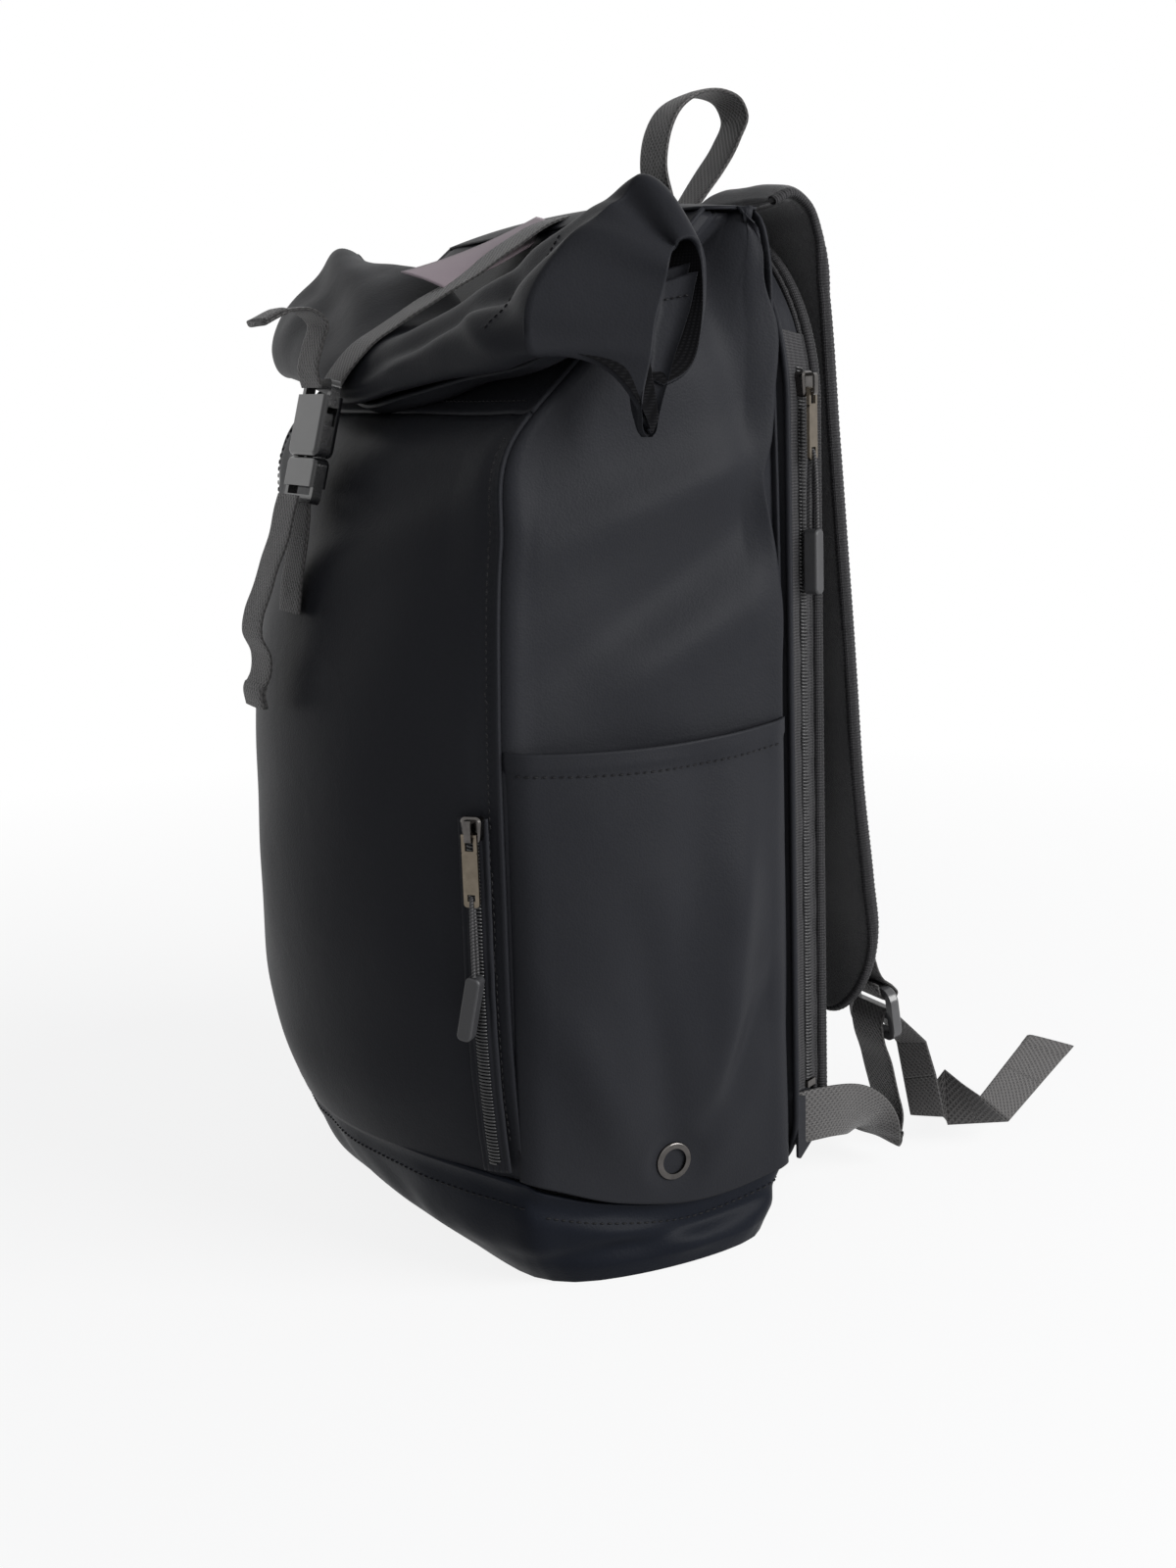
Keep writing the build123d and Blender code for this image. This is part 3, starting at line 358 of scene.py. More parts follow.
def walk(s, z):
    """The outline before rounding, s millimetres from the right front seam towards the front."""
    half, seam, front, back_y = (smooth_steps(z, LEVELS[:, 0], LEVELS[:, k]) for k in range(1, 5))
    depth = back_y - seam
    sag = seam - front
    radius = (half ** 2 + sag ** 2) / (2 * sag)
    swing = 2 * np.arcsin(np.clip(half / radius, -1, 1))
    arc = radius * swing
    girth = arc + 2 * depth + 2 * half
    s = np.mod(s + depth, girth) - depth
    angle = swing / 2 - s / radius
    x_front, y_front = radius * np.sin(angle), front + radius - radius * np.cos(angle)
    share = -s / depth
    x_right, y_right = half + SIDE_BOW * (1 - (2 * share - 1) ** 2), seam - s
    share = (s - arc) / depth
    x_left, y_left = -half - SIDE_BOW * (1 - (2 * share - 1) ** 2), seam + s - arc
    x_rear = -half + (s - arc - depth)
    on_front = (s >= 0) & (s <= arc)
    on_left = (s > arc) & (s <= arc + depth)
    on_rear = s > arc + depth
    x = np.where(on_front, x_front, np.where(on_left, x_left, np.where(on_rear, x_rear, x_right)))
    y = np.where(on_front, y_front, np.where(on_left, y_left, np.where(on_rear, back_y, y_right)))
    return x, y


def rounded(s, z, spread):
    """The outline with its corners rounded: a weighted mean of places along the walk."""
    x = y = 0.0
    offsets = np.linspace(-2, 2, 9)
    weights = np.exp(-offsets ** 2)
    for offset, weight in zip(offsets, weights / weights.sum()):
        xk, yk = walk(s + offset * spread, z)
        x, y = x + weight * xk, y + weight * yk
    return x, y


def panel_lengths(z):
    """Length of a side and of the front at each height."""
    half, seam, front, back_y = (smooth_steps(z, LEVELS[:, 0], LEVELS[:, k]) for k in range(1, 5))
    sag = seam - front
    radius = (half ** 2 + sag ** 2) / (2 * sag)
    return back_y - seam, 2 * radius * np.arcsin(np.clip(half / radius, -1, 1))


def side_place(share, z):
    """A place on the right side: share runs from 0 at the front seam to 1 at the back edge."""
    side, _ = panel_lengths(z)
    spread = 9.0 - 6.0 * np.clip(2 * share - 1, 0, 1)
    x, y = rounded(-share * side, z, spread)
    return np.stack([x, y, z], axis=-1)


def front_place(share, z):
    """A place on the front: share runs from 0 at the right seam to 1 at the left one."""
    _, front = panel_lengths(z)
    x, y = rounded(share * front, z, 9.0)
    return np.stack([x, y, z], axis=-1)


def pushed(points, height, outward=1.0):
    """The surface moved along its normals by a height in millimetres."""
    return points + outward * normals_of(points) * height[..., None]


def seam_dip(distance, depth=1.3, puff=0.9):
    """How a sewn edge sits: pulled in at the thread and puffed up beside it."""
    return puff * bump_at(distance, 7.0, 5.0) - depth * np.exp(-np.abs(distance) / 2.2)


# %% [markdown]
# ## Front panel and yoke
# Both are one smooth form, cut along the yoke's seam. Broad soft folds are added as a few ridges
# on the unrolled panel; the weight of the buckle pulls the upper edge into a crease.
#
# %% Front panel, yoke and sides
def base_seam(y):
    """Height of the base's seam: level in front and lowest at the middle of each side."""
    return smooth_steps(y, [-140.0, -64.0, -19.0, 20.0, 60.0, 95.0], [54.0, 54.0, 37.0, 29.0, 31.0, 36.0])


def front_form(share, z):
    """The front with its folds."""
    points = front_place(share, z)
    x = points[..., 0]
    height = (
        1.5 * ripple(points, 150.0, 3) + 0.5 * ripple(points, 60.0, 4)
        + fold(x, z, (118, 352), (10, 330), 13, 2.6)
        + fold(x, z, (96, 330), (-20, 296), 15, -2.6)
        + fold(x, z, (-118, 350), (-14, 318), 14, 2.4)
        + fold(x, z, (104, 96), (-10, 78), 20, -2.4)
        + fold(x, z, (-104, 112), (10, 70), 22, -2.6)
    )
    edge = np.minimum(share, 1 - share) * panel_lengths(z)[1]
    return pushed(points, height * np.clip(edge / 30, 0, 1) + seam_dip(edge))


BACK_EDGE = np.array([
    (2, 68), (34, 69.5), (73, 72), (164, 73), (208, 72.6), (260, 73), (285, 74), (310, 71.2),
    (327, 68), (340, 66), (356, 70), (376, 71.6), (404, 72.4), (420, 67), (441, 66.5), (452, 60),
])


def side_form(share, z, seed):
    """A side panel with its folds, for the right; its back edge is wavy where the zip's tape pulls."""
    points = side_place(share, z)
    edge_y = smooth_steps(z, BACK_EDGE[:, 0], BACK_EDGE[:, 1])
    curl = np.clip((share - 0.72) / 0.28, 0, 1)
    points[..., 1] -= (75.0 - edge_y) * curl
    points[..., 0] += 1.8 * curl ** 4
    y = points[..., 1]
    height = (
        1.2 * ripple(points, 120.0, seed) + 0.4 * ripple(points, 45.0, seed + 1)
        + fold(y, z, (70, 352), (-40, 318), 13, 4.2)
        + fold(y, z, (74, 330), (-24, 276), 15, -4.6)
        + fold(y, z, (74, 296), (-10, 262), 13, 3)
        + fold(y, z, (40, 430), (66, 330), 12, -3.2)
    )
    gusset = -19.0 * bump_at(y, 38.0, 17.0) / (1 + np.exp(-(z - 418.0) / 12.0))
    length = panel_lengths(z)[0]
    edge = np.minimum(share, 1 - share) * length
    return pushed(points, (height + gusset) * np.clip(edge / 16, 0, 1) + seam_dip(share * length))


WALL = 1.8
rows = 150
front_share = np.linspace(0, 1, 161)
side_share = np.linspace(0, 1, 91)


def upright(share_values, place, low_z, high_z, count):
    """A grid of a panel from its lower to its upper edge; each edge is a function of the place."""
    share, rise_share = np.meshgrid(share_values, np.linspace(0, 1, count), indexing="ij")
    z = low_z(share) * (1 - rise_share) + high_z(share) * rise_share
    return place(share, z)


def front_low(share):
    return np.full_like(share, 54.0 + 0.3)


def side_low(share):
    y = side_place(share, np.full_like(share, 40.0))[..., 1]
    return base_seam(y) + 0.3


front = upright(front_share, front_form, front_low, lambda s: np.full_like(s, YOKE_Z - 0.3), rows)
yoke = upright(front_share, front_form, lambda s: np.full_like(s, YOKE_Z + 0.3),
               lambda s: np.full_like(s, BODY_TOP - 2.0), 50)
sides = {
    "right": upright(side_share, lambda s, z: side_form(s, z, 11), side_low,
                     lambda s: np.full_like(s, BODY_TOP - 2.0), rows + 40),
    "left": upright(side_share, lambda s, z: side_form(s, z, 21), side_low,
                    lambda s: np.full_like(s, BODY_TOP - 2.0), rows + 40),
}
MIRROR = np.array((-1.0, 1.0, 1.0))


def cap_form(z, rise_by):
    """A closed top: the outline at one height drawn in to a pole and slightly domed."""
    around = np.linspace(0, 1, 241)[:-1]
    level = np.full_like(around, z)
    side, front_length = panel_lengths(level)
    half = smooth_steps(level, LEVELS[:, 0], LEVELS[:, 1])
    x, y = rounded(around * (front_length + 2 * side + 2 * half), level, 9.0)
    inward = np.linspace(0, 1, 24)
    middle = np.array((x.mean(), y.mean()))
    grid_x = x[:, None] * (1 - inward) + middle[0] * inward
    grid_y = y[:, None] * (1 - inward) + middle[1] * inward
    grid_z = z + rise_by * (1 - (1 - inward) ** 2) * np.ones_like(grid_x)
    return np.stack([grid_x, grid_y, grid_z], axis=-1)


surface("neck_cloth", cap_form(BODY_TOP - 2.6, 8.0), "bag", "black_coated_fabric",
        ["neck_cover"], 1.2, close_rows=True)
surface("front_cloth", front, "bag", "black_coated_fabric", ["front_panel"], WALL, flip=True)
surface("yoke_cloth", yoke, "bag", "black_coated_fabric", ["yoke_panel"], WALL, flip=True)
surface("side_cloth_right", sides["right"], "bag", "black_coated_fabric", ["side_panel_right"], WALL)
surface("side_cloth_left", sides["left"] * MIRROR, "bag", "black_coated_fabric",
        ["side_panel_left"], WALL, flip=True)


def lining_form():
    """The lining: the outline drawn in a little at every height, closed at the bottom by a pole."""
    around = np.linspace(0, 1, 161)[:-1]
    z = np.concatenate([np.full(8, 14.0), np.linspace(14.0, 392.0, 60)])
    reach = np.concatenate([np.linspace(0, 1, 9)[:-1], np.ones(60)])
    side, length = panel_lengths(z)
    half = smooth_steps(z, LEVELS[:, 0], LEVELS[:, 1])
    s = around[:, None] * (length + 2 * side + 2 * half)[None, :]
    x, y = rounded(s, np.broadcast_to(z, s.shape), 9.0)
    middle = np.array((0.0, 0.0, 14.0)) + np.stack([0 * z, y.mean(axis=0), z - 14.0], axis=-1)
    edge = np.stack([x, y, np.broadcast_to(z, s.shape)], axis=-1)
    drawn_in = edge - middle
    size = np.linalg.norm(drawn_in[..., :2], axis=-1, keepdims=True)
    drawn_in *= np.clip(1 - (13.0 + 1.2 * ripple(edge, 60.0, 17))[..., None] / size, 0, 1)
    return middle + drawn_in * reach[None, :, None]


surface("lining_bag", lining_form(), "bag", "lining_fabric", ["main_lining"], 0.6, close_rows=True)


# %% Seams of the front, yoke and base
def seam_thread(name, place, low_or_high, shares):
    """Stitches beside a seam: places on a panel at given shares and heights, lifted off it."""
    line = place(shares, low_or_high)
    beside = place(shares, low_or_high + 1.0) - line
    ahead = np.gradient(line, axis=0)
    out = np.cross(ahead, beside)
    out = unit(out)
    out *= np.sign((out * (line - (0.0, 10.0, 200.0))).sum(axis=1, keepdims=True))
    return thread(name, line + 0.3 * out, out, "bag", pitch=3.4, length=2.4)


across_front = np.linspace(0.03, 0.97, 300)
seam_thread("yoke_stitches", front_form, np.full_like(across_front, YOKE_Z + 4.5), across_front)
upward = np.linspace(70.0, 366.0, 300)
seam_thread("front_seam_stitches_right", front_form, upward, np.full_like(upward, 0.017))
seam_thread("front_seam_stitches_left", front_form, upward, np.full_like(upward, 0.983))
print("front grid", front.shape, "side grid", sides["right"].shape)

# %% [markdown]
# ## Base, side pockets and neck
# The base is a shallow tray: its rows run down from the seam, round the bottom edge and in to a
# pole at the middle of the underside. A pocket is a lens on each side whose bottom follows the
# base's seam.
#
# %% Base tray
def base_form():
    """Rows run down from the seam, round the bottom edge, and in to one pole."""
    around = np.linspace(0, 1, 261)[:-1]
    side, front_length = panel_lengths(np.full(1, 40.0))
    half = 125.0
    girth = float(front_length[0] + 2 * side[0] + 2 * half)
    s = around * girth
    down = np.linspace(0, 1, 44)
    s_grid, d_grid = np.meshgrid(s, down, indexing="ij")
    top_y = rounded(s_grid, np.full_like(s_grid, 40.0), 9.0)[1]
    top = base_seam(top_y) - 0.3
    z = top * (1 - d_grid) ** 1.15
    side_here, length_here = panel_lengths(z)
    half_here = smooth_steps(z, LEVELS[:, 0], LEVELS[:, 1])
    girth_here = length_here + 2 * side_here + 2 * half_here
    x, y = rounded(s_grid / girth * girth_here, z, 9.0 + 13.0 * np.clip((34.0 - z) / 34.0, 0, 1) ** 1.3)
    sag = 9.0 * np.clip(1 - ((y - 18.0) / 62.0) ** 2, 0, 1) * np.clip((32.0 - z) / 24.0, 0, 1)
    shell = np.stack([x + np.sign(x) * sag * (np.abs(x) > 100.0), y, z], axis=-1)
    height = (
        1.3 * ripple(shell, 70.0, 31) + 0.5 * ripple(shell, 28.0, 32)
        + np.where(x > 0, 1, 0) * fold(y, z, (-40, 14), (70, 21), 5, 3.4)
        + np.where(x > 0, 1, 0) * fold(y, z, (-54, 34), (20, 12), 6, -2.6)
    )
    shell = pushed(shell, height * np.sin(np.pi * np.clip(d_grid, 0, 1)) + seam_dip(top - z), -1.0)
    ring = shell[:, -1]
    middle = ring.mean(axis=0)
    inward = np.linspace(0, 1, 14)[1:]
    under = ring[:, None] * (1 - inward[None, :, None]) + middle * inward[None, :, None]
    under[..., 2] = np.maximum(ring[:, None, 2] * (1 - inward) ** 3, 0.0)
    grid = np.concatenate([shell, under], axis=1)
    grid[..., 2] = np.maximum(grid[..., 2], 0.0)
    return grid


base = base_form()
surface("base_cloth", base, "bag", "black_coated_fabric", ["base_panel"], WALL, close_rows=True)
base_row = 9
base_out = normals_of(base)[:, base_row]
base_out *= np.sign((base_out * (base[:, base_row] - (0.0, 0.0, 60.0))).sum(axis=1, keepdims=True))
thread("base_stitches", base[:, base_row] + 0.2 * base_out, base_out, "bag")


# %% Side pockets
POCKET_TOP, POCKET_FRONT, POCKET_LENGTH = 236.0, -62.0, 134.5
POCKET_WALL = 1.6
EYELET_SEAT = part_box("pocket_eyelet_right")[1][0] / MM - 1.55


def pocket_form(share, level_share, seed):
    """A lens on the side: widest in its middle, flat to the panel at its front and back edges."""
    y = POCKET_FRONT + share * POCKET_LENGTH
    low = base_seam(y) + 0.6
    high = POCKET_TOP + 2.5 * (2 * share - 1) ** 2
    z = low + (high - low) * level_share
    bulge = smooth_steps(z, [20.0, 48.0, 90.0, 150.0, 236.0], [3.0, 5.5, 12.0, 14.0, 11.0])
    across = 1 - (2 * share - 1) ** 2
    half = smooth_steps(z, LEVELS[:, 0], LEVELS[:, 1])
    x = half + SIDE_BOW * across + 1.8 + bulge * across ** 0.8
    corner = np.clip((y - POCKET_FRONT) / 14.0, 0, 1)
    x = x - 3.4 * (1 - corner) ** 2
    points = np.stack([x, y, z], axis=-1)
    height = (
        0.9 * ripple(points, 90.0, seed) + 0.35 * ripple(points, 34.0, seed + 1)
        + fold(y, z, (24, 232), (10, 120), 11, -2.6)
        + fold(y, z, (44, 190), (30, 70), 10, 4)
        + fold(y, z, (-8, 150), (6, 62), 11, -3.4)
        + fold(y, z, (-40, 120), (-16, 60), 12, 3)
        + fold(y, z, (60, 120), (20, 52), 9, -3.6)
    )
    edge = np.minimum(share, 1 - share) * POCKET_LENGTH
    inside = np.clip(edge / 12, 0, 1) * np.clip((z - low) / 14, 0, 1) * np.clip((high - z) / 12, 0, 1)
    hem = 0.7 / (1 + np.exp(-(z - (high - 7.5)) / 0.5))
    eyelet = np.exp(-(((y - 8.0) ** 2 + (z - 51.0) ** 2) / 13.0 ** 2) ** 2)
    height = height * inside + hem + seam_dip(edge, 0.9, 0.5)
    points = pushed(points, height)
    points[..., 0] += (EYELET_SEAT - points[..., 0]) * eyelet
    return points


pocket_share, pocket_level = np.meshgrid(np.linspace(0, 1, 121), np.linspace(0, 1, 181), indexing="ij")
for side, sign, seed in (("right", 1.0, 41), ("left", -1.0, 51)):
    pocket = pocket_form(pocket_share, pocket_level, seed) * (sign, 1.0, 1.0)
    surface(f"pocket_cloth_{side}", pocket, "bag", "black_coated_fabric",
            [f"side_pocket_{side}"], POCKET_WALL, flip=sign < 0)
    row = 171
    out = normals_of(pocket)[:, row] * sign
    thread(f"pocket_stitches_{side}", pocket[2:-2, row] + 0.2 * out[2:-2], out[2:-2], "bag")
print("pocket grid", pocket.shape)

# %% [markdown]
# ## Rolled mouth
# The mouth of the bag is pressed flat and rolled forward. Across the bag the roll sags between
# two ends that stand up. One sheet follows a spiral profile at every place along the roll; the
# pressed mouth inside it is a second, closed form that hangs out at both ends.
#
# %% The roll's profile and stations
# x, then the roll's lower front edge and its upper edge in Y and Z, and its thickness
ROLL = np.array([
    (-163, -36, 388, -4, 448, 38),
    (-142, -44, 388, -6, 450, 39),
    (-118, -52, 388, -10, 446, 38),
    (-70, -62, 385, -8, 440, 34),
    (-34, -67, 381, -4, 431, 31),
    (0, -71, 377, -3, 414, 35),
    (46, -67, 382, -6, 413, 32),
    (84, -60, 386, -6, 426.5, 33),
    (118, -53, 388, -3, 443, 36),
    (146, -46, 393, 7, 460, 37),
    (163, -40, 393, 10, 462, 37),
])
# along the section from its lower to its upper end, and across it from rear to front
PROFILE = np.array([
    (-0.80, -0.40), (-0.62, -0.82), (-0.15, -1), (0.35, -0.95), (0.78, -0.66), (0.99, -0.22),
    (0.93, 0.18), (0.62, 0.50), (0.15, 0.76), (-0.35, 0.90), (-0.74, 0.76), (-0.97, 0.36),
    (-0.98, -0.04), (-0.80, -0.20), (-0.35, -0.18), (0.1, -0.2),
])
# the same sixteen places at an open end, in Y and Z: a narrow arch over a hole and a tip below
END_PROFILE = np.array([
    (-3, 380), (6, 384), (12.5, 392), (16.5, 408), (18, 422), (17, 431.5),
    (11, 436), (4, 435), (1.6, 428), (-1.5, 417), (-5.5, 405), (-8, 392),
    (-12, 377), (-12.6, 367), (-9.5, 362.5), (-6, 368),
])
ROLL_END, HIP_START = 163.0, 143.0


def roll_frame(x):
    """Middle, half length, half thickness and the section's two directions at x."""
    low_y, low_z, high_y, high_z, thickness = (smooth_steps(x, ROLL[:, 0], ROLL[:, k]) for k in range(1, 6))
    length = np.hypot(high_y - low_y, high_z - low_z)
    along = np.stack([np.zeros_like(x), (high_y - low_y) / length, (high_z - low_z) / length], axis=-1)
    across = np.stack([np.zeros_like(x), -along[..., 2], along[..., 1]], axis=-1)
    middle = np.stack([x, (low_y + high_y) / 2, (low_z + high_z) / 2], axis=-1)
    return middle, length / 2, thickness / 2, along, across


def roll_form(t, x_share):
    """One sheet along a spiral profile; at both ends it slopes in to a narrow arch like a hip roof."""
    count = len(PROFILE)
    profile = smooth_steps(t * (count - 1), np.arange(count), PROFILE)
    end_profile = smooth_steps(t * (count - 1), np.arange(count), END_PROFILE)
    x = (2 * x_share - 1) * ROLL_END
    middle, half_length, half_thickness, along, across = roll_frame(x)
    a, b = profile[..., 0] * half_length, profile[..., 1] * half_thickness
    points = middle + a[..., None] * along + b[..., None] * across
    girth = 230.0 * t
    height = (
        1.5 * ripple(points, 75.0, 61) + 0.5 * ripple(points, 30.0, 62)
        + fold(x, girth, (150, 92), (40, 132), 9, 4.2)
        + fold(x, girth, (146, 116), (30, 154), 9, -4.4)
        + fold(x, girth, (140, 160), (96, 118), 6, -3.2)
        + fold(x, girth, (130, 168), (84, 130), 6, 2.4)
        + fold(x, girth, (-158, 92), (-36, 124), 9, 3.6)
        + fold(x, girth, (-150, 112), (-30, 142), 10, -3.6)
        + fold(x, girth, (-30, 96), (30, 100), 16, -2.4)
    )
    ear = (
        fold(x, girth, (166, 112), (130, 98), 5, -3.6)
        + fold(x, girth, (168, 128), (132, 120), 7, 2.6)
        + fold(x, girth, (164, 168), (136, 178), 5, 2.2)
    )
    visible = np.clip(t / 0.06, 0, 1) * np.clip((0.8 - t) / 0.1, 0, 1)
    hip = np.clip((np.abs(x) - HIP_START) / (ROLL_END - HIP_START), 0, 1)
    below = 1 / (1 + np.exp(-(t - 0.6) / 0.03))
    back_share, drop_share = hip ** (1.2 - 0.25 * below), hip ** (1.2 + 0.9 * below)
    points[..., 1] += (end_profile[..., 0] - points[..., 1]) * back_share
    points[..., 2] += (end_profile[..., 1] - points[..., 2]) * drop_share
    return pushed(points, (height + ear) * visible)


def toward_ends(count):
    """Places across the roll, closer together near its two ends."""
    even = np.linspace(-1, 1, count)
    return (even * (1.35 - 0.35 * even ** 2) + 1) / 2


roll_t, roll_x = np.meshgrid(np.linspace(0, 1, 141), toward_ends(241), indexing="ij")
roll = roll_form(roll_t, roll_x)
roll_cloth = surface("roll_cloth", roll, "bag", "black_coated_fabric", ["roll_top"], 2.4)
roll_cloth.modifiers["wall"].material_offset = 1
print("roll grid", roll.shape)


# %% The pressed mouth inside the roll
# height, left and right edge in Y of the tongue that hangs out of the end, from tip to hem
TONGUE = np.array([
    (361.5, -11.6, -9.9), (364, -13.2, -7.8), (369, -13.4, -6.6), (377, -12.6, -3.9), (384, -10, -1.2),
    (391, -7.9, 1.2), (400, -7.1, 5.5), (408, -4.2, 9), (414, -3.6, 11), (418.5, -2.6, 12.8),
])


def mouth_form(turn, rise_share, narrower, back):
    """A tongue of pressed fabric: a flat loop at each height, hollow between its two rolled edges."""
    k = rise_share * (len(TONGUE) - 1)
    z, left, right = (smooth_steps(k, np.arange(len(TONGUE)), TONGUE[:, j]) for j in range(3))
    across = np.cos(turn)
    y = (left + right) / 2 + narrower * (right - left) / 2 * across
    z = z + 0.28 * np.clip(y - left, 0, 20) * rise_share ** 3
    hollow = 1.0 - 0.75 * (1 - across ** 4)
    slit = np.exp(-((y - (-0.16 * (386.0 - z) - 9.4)) / 1.1) ** 2) * bump_at(z, 378.0, 6.5)
    face = 162.0 + 3.4 * hollow - 4.5 * slit - 3.0 * rise_share + 2.2 * across * rise_share
    rear = 162.0 - 2.0 - 34.0 * rise_share ** 1.3 * (1 - across ** 6)
    facing_out = np.sin(turn) > 0
    x = np.where(facing_out, face, rear) - back
    return np.stack([x, y, z], axis=-1)


def closed_ends(grid):
    """The grid with a row at each end drawn together into one point."""
    columns = grid.shape[1]
    first, last = grid[:1].mean(axis=1, keepdims=True), grid[-1:].mean(axis=1, keepdims=True)
    return np.concatenate([np.repeat(first, columns, axis=1), grid, np.repeat(last, columns, axis=1)])


# stitched seam near the flap's corner, and the one along the far half
roll_out = normals_of(roll)
roll_out *= np.sign((roll_out * (roll - roll[:112].mean(axis=0))).sum(axis=-1, keepdims=True))
for name, part, pitch, length in (
    ("near", (slice(66, 96), 192), 3.0, 2.2),
    ("far", (48, slice(12, 96)), 3.2, 2.4),
):
    thread(f"roll_stitches_{name}", roll[part] + 0.1 * roll_out[part], roll_out[part], "bag", pitch, length)
leaf_rise, leaf_turn = np.meshgrid(np.linspace(0, 1, 61), np.linspace(0, 2 * np.pi, 61)[:-1], indexing="ij")
leaf = closed_ends(mouth_form(leaf_turn, leaf_rise, 1.0, 0.0))
inner = closed_ends(mouth_form(leaf_turn, leaf_rise, 0.8, 5.0) + (0.0, 1.2, 4.0))
for side, sign in (("right", 1.0), ("left", -1.0)):
    stands = ["mouth_fold"] if side == "right" else []
    surface(f"mouth_leaf_{side}", leaf * (sign, 1.0, 1.0), "bag", "black_coated_fabric", stands,
            close_columns=True, flip=sign < 0)
    surface(f"mouth_inner_leaf_{side}", inner * (sign, 1.0, 1.0), "bag", "black_coated_fabric",
            close_columns=True, flip=sign < 0)
    hem = (leaf[52, 3:28] + (0.4, 0.0, 0.0)) * (sign, 1.0, 1.0)
    thread(f"mouth_stitches_{side}", hem, (sign, 0.0, 0.0), "bag", pitch=2.6, length=1.9)


# %% Hang tag
def tag_form():
    """A thin card between four corners, curled a little: both faces and its rim as one closed loop."""
    corners = np.array([(-30.0, -26.6, 431.9), (-30.0, 44.1, 456.4), (0.0, 39.6, 449.7), (0.0, -18.5, 423.2)])
    along = np.linspace(0, 1, 41)
    first = corners[0] + (corners[1] - corners[0]) * along[:, None]
    second = corners[3] + (corners[2] - corners[3]) * along[:, None]
    across = (second - first)[:, None]
    share = np.concatenate([np.linspace(0, 1, 12), np.linspace(1, 0, 12)])
    flat = first[:, None] + share[None, :, None] * across
    up = np.cross(corners[3] - corners[0], corners[1] - corners[0])
    up /= np.linalg.norm(up)
    rim = np.repeat((-0.28, 0.28), 12)
    curl = 2.4 * (2 * along[:, None] - 1) ** 2 + 0.8 * np.sin(share * np.pi)[None, :]
    return closed_ends(flat + (curl + rim[None, :])[..., None] * up)


surface("tag_sheet", tag_form(), "bag", "tag_card", ["hang_tag"], close_columns=True)

# %% [markdown]
# ## Laptop compartment and back
# Behind the shell sits a flat compartment. Its wall narrows towards the wearer's back and carries
# the long zip. All of its edges follow one rounded upright rectangle, so that outline is a
# function too: an angle walks round it, and each corner has its own radius.
#
# %% Rounded outline of the compartment
GUSSET_FRONT, GUSSET_REAR = 75.3, 98.0
GUSSET_HALF, GUSSET_INSET = 128.0, 11.0
CASE_LOW, CASE_HIGH = 20.0, 456.0
ZIP_Y = 86.5            # middle of the long zip on the compartment's wall
TOP_RADIUS, LOW_RADIUS = 85.0, 34.0


def outline_walk(count, half, low, high, top_radius, low_radius):
    """Evenly spaced places round an upright rounded rectangle, from the middle of its top."""
    quarter = np.linspace(0, np.pi / 2, 40)
    corners = [
        (half - top_radius, high - top_radius, top_radius, np.pi / 2),
        (half - low_radius, low + low_radius, low_radius, 0.0),
        (-half + low_radius, low + low_radius, low_radius, -np.pi / 2),
        (-half + top_radius, high - top_radius, top_radius, -np.pi),
    ]
    x = np.concatenate([[0.0]] + [cx + r * np.cos(a - quarter) for cx, cz, r, a in corners] + [[0.0]])
    z = np.concatenate([[high]] + [cz + r * np.sin(a - quarter) for cx, cz, r, a in corners] + [[high]])
    walked = np.concatenate([[0.0], np.cumsum(np.hypot(np.diff(x), np.diff(z)))])
    at = np.linspace(0, walked[-1], count + 1)[:-1]
    return np.interp(at, walked, x), np.interp(at, walked, z)


def case_ring(count, y, grow=0.0):
    """The compartment's outline at a depth y, grown outwards by some millimetres."""
    taper = GUSSET_INSET * (y - GUSSET_FRONT) / (GUSSET_REAR - GUSSET_FRONT) - grow
    x, z = outline_walk(count, GUSSET_HALF - taper, CASE_LOW + taper, CASE_HIGH - taper,
                        TOP_RADIUS - taper, LOW_RADIUS - taper)
    return np.stack([x, np.full_like(x, y), z], axis=-1)


# %% Compartment wall, binding and piping
def case_wall():
    """Rows run round the compartment; columns run from the shell to the back, softly ribbed."""
    depths = np.linspace(GUSSET_FRONT - 9.0, GUSSET_REAR + 0.6, 34)
    grid = np.stack([case_ring(640, y) for y in depths], axis=1)
    y, z = grid[..., 1], grid[..., 2]
    beside_zip = (np.abs(y - ZIP_Y) > 3.2).astype(float)
    height = 0.7 * ripple(grid, 50.0, 71) + 0.5 * beside_zip * np.sin((y - 75.0) * 2 * np.pi / 5.6)
    grid[..., 0] *= 1 - 0.045 * np.clip((81.0 - y) / 7, 0, 1)
    return pushed(grid, height * np.clip((y - 75.0) / 3, 0, 1) * np.clip((98.0 - y) / 3, 0, 1), -1.0)


surface("case_cloth", case_wall(), "bag", "black_coated_fabric", ["laptop_gusset"], 1.4, close_rows=True)


def flat_wall(y, grow):
    """A flat wall across the bag: the compartment's outline drawn in to its middle."""
    ring = case_ring(160, y, grow)
    inward = np.linspace(1, 0, 12)[None, :, None]
    middle = np.array((0.0, y, (CASE_LOW + CASE_HIGH) / 2))
    return middle + (ring[:, None] - middle) * inward


surface("wall_cloth", flat_wall(70.0, -9.0), "bag", "lining_fabric", ["rear_wall"], 0.8, close_rows=True)


